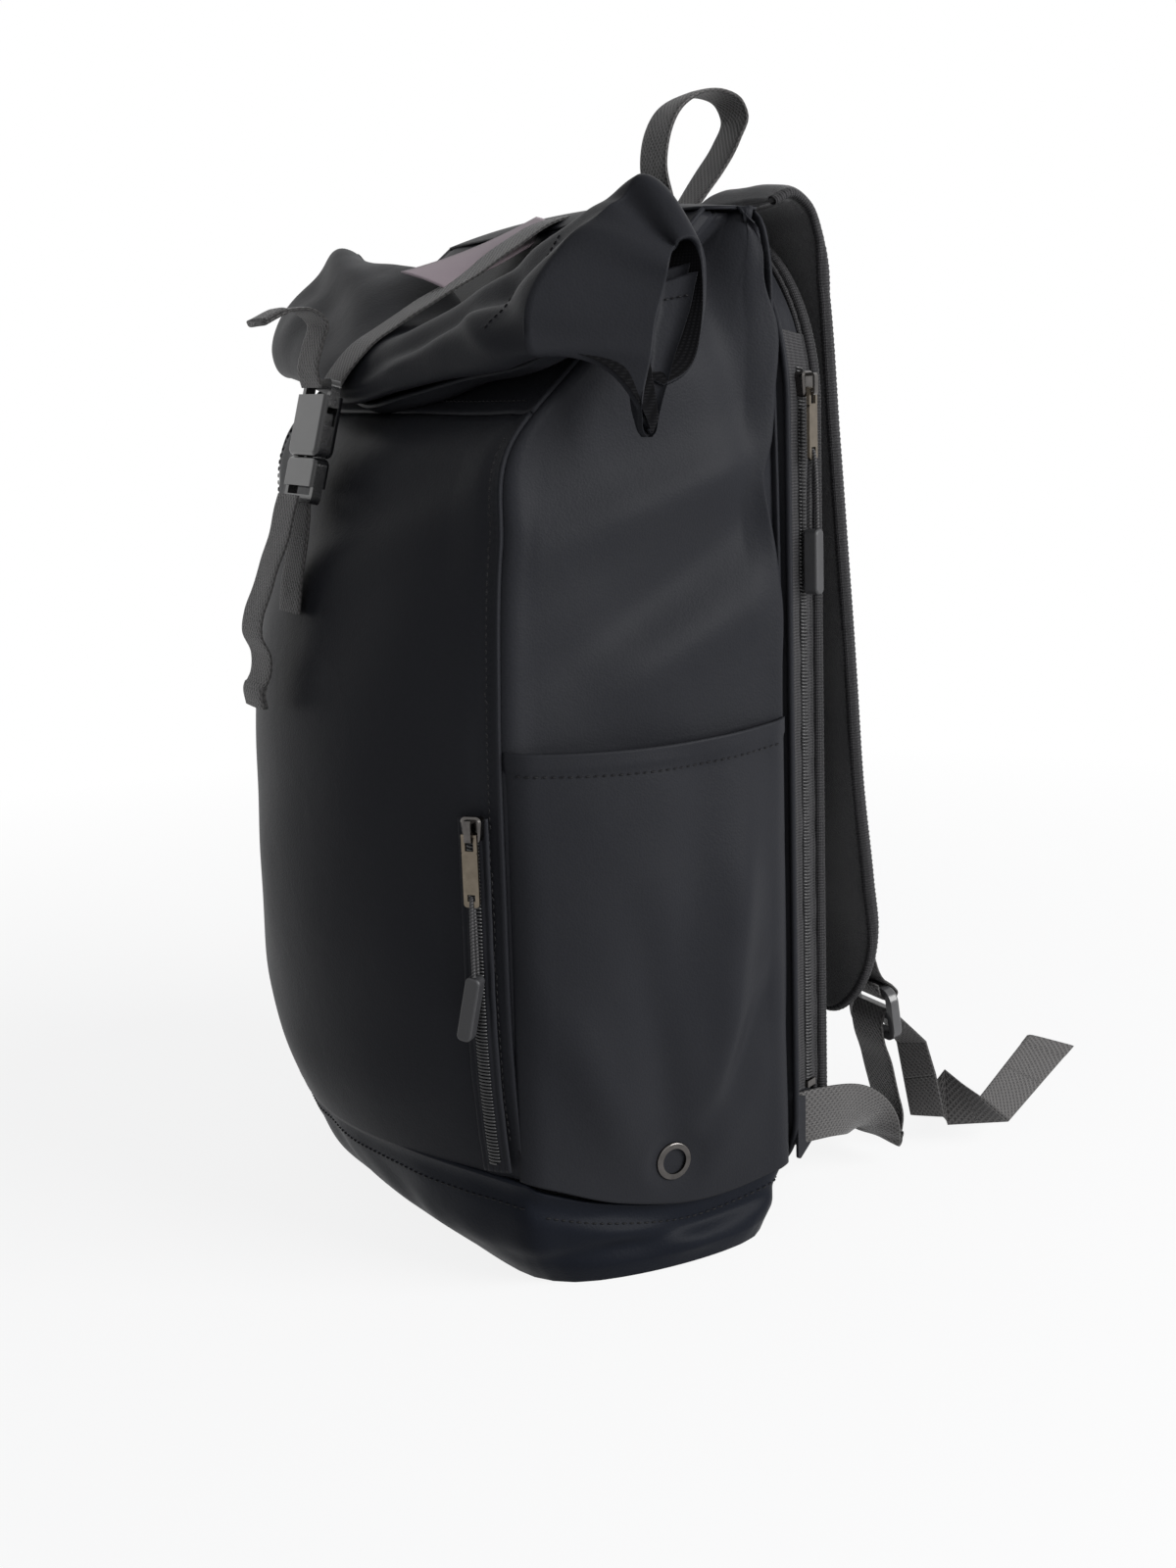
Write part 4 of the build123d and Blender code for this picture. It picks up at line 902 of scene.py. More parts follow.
def shell_back_form():
    """The shell's own back, seen above the compartment's round corners: a flat sheet to a pole."""
    x, z = outline_walk(300, 126.0, 40.0, 450.5, 9.0, 20.0)
    reach = np.linspace(1, 0, 20)[None, :]
    middle_z = 245.0
    grid_x, grid_z = x[:, None] * reach, middle_z + (z[:, None] - middle_z) * reach
    y = smooth_steps(grid_z, [30.0, 400.0, 434.0, 451.0], [72.8, 72.8, 71.5, 67.5])
    grid = np.stack([grid_x, y, grid_z], axis=-1)
    return pushed(grid, 0.7 * ripple(grid, 60.0, 85) * (1 - reach ** 6))


surface("shell_back", shell_back_form(), "bag", "black_coated_fabric", (), 1.4, close_rows=True)


def board_form(low, high, radius):
    """A stiff board: its outline drawn in to a pole on both faces, with a rounded edge between."""
    x, z = outline_walk(200, high[0], low[2], high[2], radius, radius)
    reach = np.array((0.0, 0.4, 0.8, 0.985, 1.0, 1.0, 0.985, 0.8, 0.4, 0.0))
    depth = np.array((0.0, 0.0, 0.0, 0.0, 0.25, 0.75, 1.0, 1.0, 1.0, 1.0))
    middle_z = (low[2] + high[2]) / 2
    y = np.broadcast_to(low[1] + (high[1] - low[1]) * depth, (200, 10))
    return np.stack([x[:, None] * reach, y, middle_z + (z[:, None] - middle_z) * reach], axis=-1)


board_box = [np.array(v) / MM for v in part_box("divider_board")]
surface("board", board_form(board_box[0] + (0.0, 0.3, 4.0), board_box[1] - (4.0, 0.3, 4.0), 40.0),
        "bag", "lining_fabric", ["divider_board"], close_rows=True)


def tube_round(name, path, radius, body, slot, stands_for=(), squash=1.0,
               closed=True, sides=10, ribs=0.0, pitch=2.0):
    """A cord sewn along a closed path: a circle carried round it, ribbed where the tape is woven."""
    ahead = np.roll(path, -1, axis=0) - np.roll(path, 1, axis=0)
    if not closed:
        ahead = np.gradient(path, axis=0)
    ahead = unit(ahead)
    middle = path.mean(axis=0)
    out = path - middle
    out -= (out * ahead).sum(axis=1, keepdims=True) * ahead
    out = unit(out)
    side = np.cross(ahead, out)
    turn = np.linspace(0, 2 * np.pi, sides + 1)[:-1]
    walked = distance_along(path)
    girth = radius + ribs * np.cos(walked * 2 * np.pi / pitch)
    grid = (
        path[:, None]
        + girth[:, None, None] * np.cos(turn)[None, :, None] * out[:, None]
        + squash * girth[:, None, None] * np.sin(turn)[None, :, None] * side[:, None]
    )
    return surface(name, grid, body, slot, stands_for, close_rows=closed, close_columns=True, flip=True)


binding_path = case_ring(1500, GUSSET_REAR, 2.2)
tube_round("edge_binding", binding_path, 2.3, "bag", "edge_tape", ["rear_binding"],
           squash=1.15, ribs=0.12, pitch=2.2)
piping_path = case_ring(900, 93.4, 0.7)
tube_round("case_piping", piping_path, 1.3, "bag", "edge_tape", ribs=0.1, pitch=1.8)
front_piping = case_ring(900, 78.2, 0.7)
tube_round("shell_piping", front_piping[16:-16], 1.5, "bag", "black_coated_fabric", closed=False)


# %% [markdown]
# ## Back panel and air mesh
# The foam against the wearer's back is a crowned pad. The mesh over it is a second skin whose
# holes come from its material, and a smooth band is sewn across.
#
# %% Back pad, mesh and band
BACK_START = 98.3


def back_depth(z, lift):
    """How far back the pad's face stands at a height: fullest in the upper middle."""
    share = (z - 32.0) / 412.0
    return BACK_START + 5.0 + lift + 4.0 * smooth_steps(
        share, [0.0, 0.12, 0.35, 0.6, 0.85, 1.0], [-0.55, 0.0, 0.75, 1.0, 0.45, -0.3])


def pad_grid(half, low, high, top_radius, low_radius, lift, edge_drop, edge_width, count=360, rings=60):
    """Rings shrink from an outline to its middle; near the outline the face rolls down."""
    x, z = outline_walk(count, half, low, high, top_radius, low_radius)
    middle_z = (low + high) / 2
    shrink = np.linspace(1, 0.0, rings) ** 1.25
    gx = x[:, None] * shrink
    gz = middle_z + (z[:, None] - middle_z) * shrink
    inset = (1 - shrink[None, :]) * half * np.ones_like(gx)
    roll_off = np.clip(1 - inset / edge_width, 0, 1)
    gy = back_depth(gz, lift) - edge_drop * roll_off ** 2.2
    return np.stack([gx, gy, gz], axis=-1)


pad = pad_grid(116.0, 32.0, 444.0, 74.0, 24.0, 0.0, 8.0, 12.0)
surface("back_cloth", pushed(pad, 0.6 * ripple(pad, 60.0, 81)), "bag", "black_coated_fabric",
        ["back_panel"], close_rows=True)
mesh_pad = pad_grid(104.0, 96.0, 432.0, 62.0, 26.0, 3.3, 3.0, 7.0)
channels = sum(bump_at(mesh_pad[..., 0], at, 3.0) for at in (-52.0, 0.0, 52.0))
mesh_pad[..., 1] -= 1.5 * channels * np.clip((mesh_pad[..., 2] - 100) / 20, 0, 1)
surface("mesh_cloth", mesh_pad, "bag", "air_mesh", ["back_mesh"], close_rows=True)
band_x, band_z = np.meshgrid(np.linspace(-105.5, 105.5, 90), np.linspace(182.0, 236.0, 30), indexing="ij")
band_y = back_depth(band_z, 5.0) - 2.6 * np.clip((np.abs(band_x) - 98.0) / 7.5, 0, 1) ** 2
band_grid = np.stack([band_x, band_y, band_z], axis=-1)
band_grid = pushed(band_grid, 0.35 * ripple(band_grid, 40.0, 83))
surface("back_strip", band_grid, "bag", "black_coated_fabric", ["back_band"], 1.2, flip=True)
for name, column in (("low", 1), ("high", -2)):
    thread(f"back_strip_stitches_{name}", band_grid[3:-3, column] + (0.0, 0.15, 0.0), (0.0, 1.0, 0.0), "bag")


# %% [markdown]
# ## Zips
# A coil zip is one bent thread: it turns round and round on each side and the two sides lock.
# A helix whose section is wide and flat draws it. The long zip runs straight down the
# compartment; the short one follows the front's curve.
#
# %% Zip tape, coil and their paths
def zip_frames(places, outs):
    """For each place on a zip: where it is, which way is out, along and across."""
    ahead = np.gradient(places, axis=0)
    ahead = unit(ahead)
    across = np.cross(ahead, outs)
    across = unit(across)
    return places, outs, ahead, across


def tape_grid(frames, width, inner, thickness, seed):
    """A flat strip with a rounded section and a slightly wavy surface."""
    places, outs, ahead, across = frames
    share = np.linspace(-1, 1, 25)
    lift = inner + thickness * (1 - share ** 8) + 0.25 * np.cos(share * 14.0)
    sideways = share[None, :, None] * width / 2 * across[:, None]
    grid = places[:, None] + sideways + lift[None, :, None] * outs[:, None]
    return grid + 0.2 * ripple(grid, 14.0, seed)[..., None] * outs[:, None]


def coil_grid(frames, length, width, height, lift, pitch=1.5):
    """A flat helix: one parameter runs along the thread and one round it."""
    places, outs, ahead, across = frames
    turns = length / pitch
    t = np.linspace(0, 1, int(turns * 12))
    angle = 2 * np.pi * turns * t
    walk_at = t * (len(places) - 1)
    index = np.arange(len(places))
    centre, out, side, along = (
        sampled(walk_at, index, v)
        for v in (places, outs, across, ahead)
    )
    wide = width / 2 * np.cos(angle)
    tall = height / 2 * np.sin(angle)
    spine = centre + wide[:, None] * side + (lift + height / 2 + tall)[:, None] * out
    way = np.gradient(spine, axis=0)
    way = unit(way)
    first = np.cross(way, along)
    first = unit(first)
    second = np.cross(way, first)
    turn = np.linspace(0, 2 * np.pi, 6)[:-1]
    return (
        spine[:, None] + 0.42 * np.cos(turn)[None, :, None] * first[:, None]
        + 0.5 * np.sin(turn)[None, :, None] * second[:, None]
    )


side_out = facing(GUSSET_TURN)
side_z = np.linspace(400.0, 65.0, 208)
side_x = GUSSET_HALF - GUSSET_INSET * (ZIP_Y - GUSSET_FRONT) / (GUSSET_REAR - GUSSET_FRONT)
side_curve = TOP_RADIUS - np.sqrt(TOP_RADIUS ** 2 - np.clip(side_z - (CASE_HIGH - TOP_RADIUS), 0, None) ** 2)
side_places = np.stack([side_x - side_curve, np.full_like(side_z, ZIP_Y), side_z], axis=1)
side_zip = zip_frames(side_places, np.broadcast_to(side_out, side_places.shape))
surface("side_tape_cloth", tape_grid(side_zip, 19.0, 0.3, 0.8, 91), "bag", "edge_tape",
        ["side_zip_tape"], 0.6)
coil = coil_grid(zip_frames(side_places[9:-2], side_zip[1][9:-2]), 315.0, 5.2, 1.5, 1.1)
surface("side_coil_thread", coil, "bag", "zip_coil", ["side_zip_coil"], close_columns=True)

front_z = np.linspace(212.0, 58.0, 120)


def front_zip_places(z):
    """The short zip follows the front's rounded corner, a little in front of the seam."""
    share = 12.0 / panel_lengths(z)[1]
    step = 1.0 / panel_lengths(z)[1]
    here = front_place(share, z)
    beside = front_place(share + step, z) - front_place(share - step, z)
    outs = np.cross(beside, np.broadcast_to((0.0, 0.0, 1.0), beside.shape))
    outs = unit(outs)
    return here, outs * np.sign((outs @ np.array((1.0, -1.0, 0.0))))[:, None]


front_places, front_outs = front_zip_places(front_z)
front_places = front_places + 0.9 * front_outs
front_zip = zip_frames(front_places, front_outs)
surface("front_tape_cloth", tape_grid(front_zip, 13.0, 0.3, 0.8, 93), "bag", "black_coated_fabric",
        ["front_zip_tape"], 0.6)
coil = coil_grid(zip_frames(front_places[3:-3], front_outs[3:-3]), 146.0, 5.2, 1.5, 1.1)
surface("front_coil_thread", coil, "bag", "zip_coil", ["front_zip_coil"], close_columns=True)
print("front zip from", front_places[0].round(1), "to", front_places[-1].round(1))

# %% [markdown]
# ## Webbing
# Webbing is a flat band that bends easily one way only. Each band is a list of stations: a
# place, the way its width points, and the curve through them. Its section is a thin rounded
# rectangle, so the woven edges catch light.
#
# %% Bands of webbing
WEB = 25.0


def curve_through(stations, count):
    """Places and width directions along a smooth curve through given stations."""
    stations = np.asarray(stations, float)
    walked = distance_along(stations[:, :3])
    at = np.linspace(0, walked[-1], count)
    smooth = smooth_steps(at, walked, stations)
    places, widths = smooth[:, :3], smooth[:, 3:]
    return places, unit(widths)


def flat_band(name, stations, body, width=WEB, thickness=1.7, count=160,
              stands_for=(), hem_at_end=0.0, wave=0.25, seed=5):
    """A band of webbing with rounded edges; the last millimetres may be doubled as a hem."""
    places, widths = curve_through(stations, count)
    ahead = np.gradient(places, axis=0)
    ahead = unit(ahead)
    widths = widths - (widths * ahead).sum(axis=1, keepdims=True) * ahead
    widths = unit(widths)
    out = np.cross(widths, ahead)
    turn = np.linspace(0, 2 * np.pi, 33)[:-1]
    across = np.sign(np.cos(turn)) * np.abs(np.cos(turn)) ** 0.35 * width / 2
    depth = np.sign(np.sin(turn)) * np.abs(np.sin(turn)) ** 0.55 * thickness / 2
    walked = distance_along(places)
    thicker = 1 + (walked > walked[-1] - hem_at_end) * (1.0 if hem_at_end else 0.0)
    grid = (
        places[:, None] + across[None, :, None] * widths[:, None]
        + (depth[None, :] * thicker[:, None])[..., None] * out[:, None]
    )
    grid = grid + wave * ripple(grid, 26.0, seed)[..., None] * out[:, None]
    return surface(name, closed_ends(grid), body, "black_webbing", stands_for, close_columns=True)


def level_band(points, x=0.0):
    """Stations of a band whose width lies along X: points are in Y and Z."""
    return [(x, y, z, 1.0, 0.0, 0.0) for y, z in points]


# %% Haul handle
handle_points = [
    (98.6, 449), (96, 456), (93.6, 466), (91, 481), (93.5, 494), (101.5, 506), (113, 512),
    (124, 512.5), (133, 509), (136.5, 502), (131.5, 491), (121.5, 477), (111.5, 465), (103.6, 455.5),
    (101, 450),
]
flat_band("handle_webbing", level_band(handle_points), "handle", width=24.0, thickness=2.4,
          stands_for=["haul_handle"], count=240, wave=0.5, seed=7)

# %% Closing strap, its buckle loops and its loose ends
upper_points = [
    (70, 454), (58, 455), (44, 456), (30, 452.5), (12, 442.5), (-8, 430.5), (-30, 419),
    (-48, 409), (-62, 400), (-71, 391), (-76, 384.8),
]
flat_band("upper_webbing", level_band(upper_points), "bag", stands_for=["upper_strap"], count=220)
upper_tail = [
    (-84.5, 384), (-86, 392), (-83, 402), (-80, 411), (-86, 416.5), (-95, 417), (-108, 412),
]
flat_band("upper_tail_webbing", level_band(upper_tail), "bag", count=90, hem_at_end=11.0)
lower_points = [
    (-101.5, 287), (-99.6, 300), (-97, 312), (-95, 322), (-93.8, 331), (-93.4, 338),
]
patch = flat_band("lower_webbing_patch", level_band(lower_points), None, stands_for=["lower_strap"], count=80)
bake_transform(patch)
tail_points = [
    (-98.5, 338.5), (-101.5, 330), (-104.5, 320), (-109.5, 309), (-114, 297), (-118, 288),
    (-119.5, 279), (-116.2, 270), (-117, 261), (-120.5, 254), (-119.8, 247),
]
flat_band("closing_tail_webbing", level_band(tail_points), "plug", stands_for=["closing_tail"],
          count=120, hem_at_end=10.0)

# %% [markdown]
# ## Shoulder straps
# A padded strap is a long pillow that follows the bag's back. Its section is a flat rounded
# shape; the bound edge is a separate ribbed band round it.
#
# %% Padded straps
STRAP_TAPER = 48.0      # how far above its end the strap begins to narrow
STRAP_LINE = np.array([
    (88, 455), (97, 458.2), (106, 453), (111.5, 441), (114.5, 416), (118.5, 353), (121.5, 287), (124, 242),
    (127.5, 196), (134, 149), (137.5, 120), (135, 96), (131.5, 82),
])


def strap_path(count):
    """The strap's middle line in Y and Z, evenly spaced, with its outward direction."""
    walked = np.concatenate([[0.0], np.cumsum(np.hypot(*np.diff(STRAP_LINE, axis=0).T))])
    at = np.linspace(0, walked[-1], count)
    line = smooth_steps(at, walked, STRAP_LINE)
    ahead = np.gradient(line, axis=0)
    ahead = unit(ahead)
    return line, np.stack([-ahead[:, 1], ahead[:, 0]], axis=1), at


def strap_edges(z, end_share):
    """Inner and outer edge in X: the strap drifts outwards and ends in a half round."""
    inner = smooth_steps(z, [80.0, 250.0, 380.0, 460.0], [53.0, 46.0, 38.0, 38.0])
    outer = smooth_steps(z, [80.0, 250.0, 380.0, 460.0], [105.0, 109.0, 104.0, 104.0])
    middle, half = (inner + outer) / 2, (outer - inner) / 2
    return middle, half * np.clip(1 - end_share ** 2.3, 0.0004, 1) ** 0.55


def strap_form(count=260, around=48):
    """The strap's skin: a superellipse section, thicker in the middle than at its edges."""
    line, out, at = strap_path(count)
    end_share = np.clip((at - (at[-1] - STRAP_TAPER)) / STRAP_TAPER, 0, 1)
    middle, half = strap_edges(line[:, 1], end_share)
    turn = np.linspace(0, 2 * np.pi, around + 1)[:-1]
    wide = np.sign(np.cos(turn)) * np.abs(np.cos(turn)) ** 0.72
    deep = np.sign(np.sin(turn)) * np.abs(np.sin(turn)) ** 0.5
    thick = 5.6 * np.clip(0.35 + (at / 14.0), 0, 1) * (1 - 0.45 * end_share ** 2)
    x = middle[:, None] + half[:, None] * wide
    y = line[:, :1] + thick[:, None] * deep * out[:, :1]
    z = line[:, 1:] + thick[:, None] * deep * out[:, 1:]
    grid = np.stack([x, y, z], axis=-1)
    grid = pushed(grid, 0.5 * ripple(grid, 60.0, 95) + 0.25 * ripple(grid, 22.0, 96), 1.0)
    return closed_ends(grid)


def strap_edge_path(count=420):
    """The bound edge: down the inner side, round the lower end and up the outer side."""
    line, out, at = strap_path(count)
    end_share = np.clip((at - (at[-1] - STRAP_TAPER)) / STRAP_TAPER, 0, 1)
    middle, half = strap_edges(line[:, 1], end_share)
    inner = np.stack([middle - half + 0.6, line[:, 0], line[:, 1]], axis=1)
    outer = np.stack([middle + half - 0.6, line[:, 0], line[:, 1]], axis=1)
    return np.concatenate([inner, outer[::-1]])


def resample(path, count):
    """The same line with evenly spaced places."""
    walked = distance_along(path)
    at = np.linspace(0, walked[-1], count)
    return sampled(at, walked, path)


strap = strap_form()
edge = resample(strap_edge_path(), 900)
for side, sign in (("right", 1.0), ("left", -1.0)):
    body = f"strap_{side}"
    flipped = sign < 0
    surface(f"strap_pad_{side}", strap * (sign, 1.0, 1.0), body, "strap_textile",
            [f"shoulder_strap_{side}"], close_columns=True, flip=flipped)
    tube_round(f"strap_binding_{side}", edge * (sign, 1.0, 1.0), 2.1, body, "edge_tape",
               squash=1.5, closed=False, ribs=0.14, pitch=2.4)

# %% Ladder lock webbing and the tails
LOCK_X = 84.0


def lock_stations(points, sign):
    """Stations round the ladder lock, width along X."""
    return [(sign * LOCK_X, y, z, sign, 0.0, 0.0) for y, z in points]


tab_points = [
    (140, 142), (141.2, 124), (144.5, 110), (150.5, 96.5), (156.5, 91.5), (158.6, 88.5), (157, 86.2),
    (153, 86),
    (149, 89), (147.2, 94),
]
web_down = [
    (124.2, 79, 50.5, 0, 0, 1), (124, 91, 50.3, 0, 0, 1), (121.5, 104, 48.5, 0.05, 0, 1),
    (116, 118, 44, 0.22, 0.05, 0.95), (108, 131, 36, 0.5, 0.1, 0.85), (99, 142, 26, 0.8, 0.1, 0.55),
    (91, 150, 17.5, 0.98, 0.05, 0.2), (86, 155, 13.4, 1, 0, 0), (84, 160, 14.5, 1, 0, 0),
    (84, 162, 22, 1, 0, 0), (84, 159.5, 36, 1, 0, 0), (84, 155.5, 52, 1, 0, 0),
    (84, 150.9, 66, 1, 0, 0), (84, 150, 76, 1, 0, 0), (84, 152, 81.5, 1, 0, 0),
]
# both edges of the loose right end, which is folded flat upon itself twice
TAIL_EDGES = np.array([
    (71.5, 153.5, 80, 96.5, 153.5, 80), (71.5, 157.5, 78, 96.5, 157.5, 78),
    (74, 167, 66, 96, 168, 68), (76, 173.6, 54.6, 94, 177.8, 59.1),
    (76, 177.8, 34.6, 94, 183.9, 41), (78, 180.5, 15.4, 92, 191.1, 16.7),
    (88, 194.2, 39.6, 90, 194.6, 10.6), (97, 198.1, 33.9, 99, 206.5, 12),
    (106, 201.8, 29.3, 108, 218.4, 13.4), (97, 224.2, 37.8, 97, 248.7, 23.3),
    (86, 249.4, 46.2, 84, 281.7, 32.8),
])


def folded_band(name, edges, body, thickness, stands_for, hem, per_fold=22):
    """A band given by its two edges: straight between stations, so that it creases sharply there."""
    count = (len(edges) - 1) * per_fold + 1
    at = np.linspace(0, len(edges) - 1, count)
    whole = np.floor(np.clip(at, 0, len(edges) - 1.001)).astype(int)
    part = np.clip((at - whole - 0.5) * 1.12 + 0.5, 0, 1)[:, None]
    both = edges[whole] * (1 - part) + edges[whole + 1] * part
    first, second = both[:, :3], both[:, 3:]
    width = second - first
    ahead = np.gradient((first + second) / 2, axis=0)
    out = np.cross(width, ahead)
    out /= np.maximum(np.linalg.norm(out, axis=1, keepdims=True), 1e-9)
    turn = np.linspace(0, 2 * np.pi, 33)[:-1]
    across = (1 + np.sign(np.cos(turn)) * np.abs(np.cos(turn)) ** 0.35) / 2
    walked = distance_along((first + second) / 2)
    deep = thickness / 2 * (1 + (walked > walked[-1] - hem))
    depth = np.sign(np.sin(turn)) * np.abs(np.sin(turn)) ** 0.55
    face = first[:, None] + across[None, :, None] * width[:, None]
    grid = face + (deep[:, None] * depth)[..., None] * out[:, None]
    return surface(name, closed_ends(grid), body, "black_webbing", stands_for, close_columns=True)


left_tail = [
    (-84, 153.8, 82, 1, 0, 0), (-84, 156.6, 79, 1, 0, 0), (-84, 158.5, 68, 1, 0, 0),
    (-84, 163, 53, 1, 0, 0), (-84.5, 171, 37, 1, 0, 0), (-85, 181, 22, 1, 0, 0.05),
    (-85, 196, 12.5, 1, 0, 0.05), (-84, 211, 16, 1, 0, 0),
]
for side, sign in (("right", 1.0), ("left", -1.0)):
    body = f"strap_{side}"
    flat_band(f"lock_loop_webbing_{side}", lock_stations(tab_points, sign), body,
              stands_for=[f"lock_tab_{side}"], count=110, wave=0.15, seed=8)
    mirror = np.array((sign, 1.0, 1.0, sign, 1.0, 1.0))
    band = flat_band(f"lower_webbing_{side}_band", np.array(web_down) * mirror, None,
                     stands_for=[f"lower_webbing_{side}"], count=220, wave=0.4, seed=9)
    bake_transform(band)
folded_band("tail_webbing_right", TAIL_EDGES, "strap_right", 1.7, ["webbing_tail_right"], 9.0)
flat_band("tail_webbing_left", left_tail, "strap_left", stands_for=["webbing_tail_left"],
          count=140, hem_at_end=11.0, wave=0.5, seed=12)

# %% [markdown]
# ## Writing finishes as expressions
# A procedural finish is arithmetic on places: a wave, a noise or a cell pattern becomes colour,
# roughness or height. The class below wraps one output of a node, and plus, minus and times
# add the Math node they stand for, so a weave can be written the way it is thought.
#
# %% Signals and finishes
class Signal:
    """One value that varies over a surface; plus, minus and times add Math nodes."""

    def __init__(self, finish, socket):
        self.finish, self.socket = finish, socket

    def _math(self, operation, first, second):
        return self.finish.node("Math", {"operation": operation}, {0: first, 1: second})

    def __add__(self, other):
        return self._math("ADD", self, other)

    __radd__ = __add__

    def __rsub__(self, other):
        return self._math("SUBTRACT", other, self)

    def __mul__(self, other):
        return self._math("MULTIPLY", self, other)


class Finish:
    """A material whose nodes are added one call at a time; constants go straight onto the shader."""

    def __init__(self, name, colour, roughness, **constants):
        self.material = bpy.data.materials.new(name)
        self.material.use_nodes = True
        self.tree = self.material.node_tree
        self.shader = self.tree.nodes["Principled BSDF"]
        self.shader.inputs["Base Color"].default_value = (*colour, 1.0)
        self.shader.inputs["Roughness"].default_value = roughness
        for label, value in constants.items():
            self.shader.inputs[label.replace("_", " ")].default_value = value
        self.place = self.node("TexCoord", {}, {}, "Object")
        self.cloth = self.node("TexCoord", {}, {}, "UV")

    def node(self, kind, settings, sockets, output=0):
        """Any node: its type, its settings, then what its sockets hold or are joined to."""
        made = self.tree.nodes.new("ShaderNode" + kind)
        for label, value in settings.items():
            if label == "stops":
                ramp = made.color_ramp
                ramp.elements[0].position, ramp.elements[1].position = value[0][0], value[-1][0]
                for at, level in value[1:-1]:
                    ramp.elements.new(at)
                for element, (at, level) in zip(ramp.elements, value):
                    element.position, element.color = at, (level, level, level, 1.0)
            else:
                setattr(made, label, value)
        for label, value in sockets.items():
            if isinstance(value, Signal):
                self.tree.links.new(value.socket, made.inputs[label])
            elif value is not None:
                made.inputs[label].default_value = value
        return Signal(self, made.outputs[output])

    def stretched(self, vector, scale, turn=(0.0, 0.0, 0.0)):
        """A place scaled and turned by a Mapping node."""
        return self.node("Mapping", {}, {"Vector": vector, "Scale": scale, "Rotation": turn})

    def noise(self, vector, scale, detail=3.0, warp=0.0):
        """Soft random levels, scale of them to the metre."""
        return self.node("TexNoise", {},
                         {"Vector": vector, "Scale": scale, "Detail": detail, "Distortion": warp})

    def cells(self, vector, scale, feature="F1", chance=1.0):
        """Distance from the nearest cell's centre, or to its edge."""
        return self.node("TexVoronoi", {"feature": feature},
                         {"Vector": vector, "Scale": scale, "Randomness": chance}, "Distance")

    def ridges(self, vector, period, way="X", warp=0.0):
        """Rounded ridges every period metres across one direction."""
        return self.node("TexWave", {"wave_type": "BANDS", "bands_direction": way},
                         {"Vector": vector, "Scale": 0.314159 / period, "Distortion": warp, "Detail": 0.0},
                         "Fac")

    def ramp(self, value, *stops):
        """A value sent through levels: pairs of where and how much."""
        return self.node("ValToRGB", {"stops": stops}, {"Fac": value})

    def mixed(self, share, first, second):
        """Two colours mixed by a share."""
        return self.node("Mix", {"data_type": "RGBA"}, {0: share, 6: (*first, 1.0), 7: (*second, 1.0)}, 2)

    def wear(self, colour=None, roughness=None, height=None, depth=0.0002, strength=1.0):
        """Join what varies to the shader: colour, roughness and a bump of some depth in metres."""
        if colour is not None:
            self.tree.links.new(colour.socket, self.shader.inputs["Base Color"])
        if roughness is not None:
            self.tree.links.new(roughness.socket, self.shader.inputs["Roughness"])
        if height is not None:
            bump = self.node("Bump", {}, {"Height": height, "Distance": depth, "Strength": strength})
            self.tree.links.new(bump.socket, self.shader.inputs["Normal"])
        return self.material


# %% [markdown]
# ## Coated fabric
# The outside is a knit backing with a thin soft plastic skin. It has a very fine leather grain,
# long soft creases from handling, and a smooth satin sheen that changes a little where hands
# have rubbed it. Cells give the grain, warped noise the creases.
#
# %% Coated fabric and lining
def backing_with_painted_shade():
    """The knit inside of the coated fabric: matte, and coloured very dark as painted shade where it lies
    rolled up inside the roll.
    """
    # Painted shade: the backing is coloured darker than the outer fabric so that the roll's narrow inside
    # reads as shaded.
    f = Finish("backing with painted shade", (0.006, 0.006, 0.007), 0.9, Specular_IOR_Level=0.05)
    weave = f.ridges(f.place, 0.0012, "X") * f.ridges(f.place, 0.0012, "Z")
    return f.wear(f.mixed(weave, (0.004, 0.004, 0.0045), (0.010, 0.010, 0.011)), None, weave, 0.0001)


def coated_fabric(name="coated fabric", dark=(0.0140, 0.0146, 0.0178), light=(0.0200, 0.0206, 0.0232)):
    """Colour and roughness follow rubbed patches and grain; height is soft creases plus grain."""
    # The blue in both colours is painted reflection of a pale blue sky; their dark level is the fabric's own.
    f = Finish(name, dark, 0.5, Specular_IOR_Level=0.045)
    grain = f.cells(f.place, 950.0)
    soft = f.noise(f.place, 60.0, 4.0, 0.6)
    rubbed = f.noise(f.place, 9.0, 3.0, 0.8)
    colour = f.mixed(rubbed * 0.8 + grain * 0.25, dark, light)
    roughness = 0.36 + rubbed * 0.12 + grain * 0.06
    height = grain * 0.2 + soft * 0.8
    return f.wear(colour, roughness, height, 0.0004, 0.7)


def lining_cloth():
    """Plain weave: two crossed sets of ridges multiplied."""
    f = Finish("lining cloth", (0.05, 0.05, 0.055), 0.7)
    weave = f.ridges(f.place, 0.0012, "X") * f.ridges(f.place, 0.0012, "Z")
    return f.wear(f.mixed(weave, (0.03, 0.03, 0.034), (0.06, 0.06, 0.066)), None, weave, 0.0002)


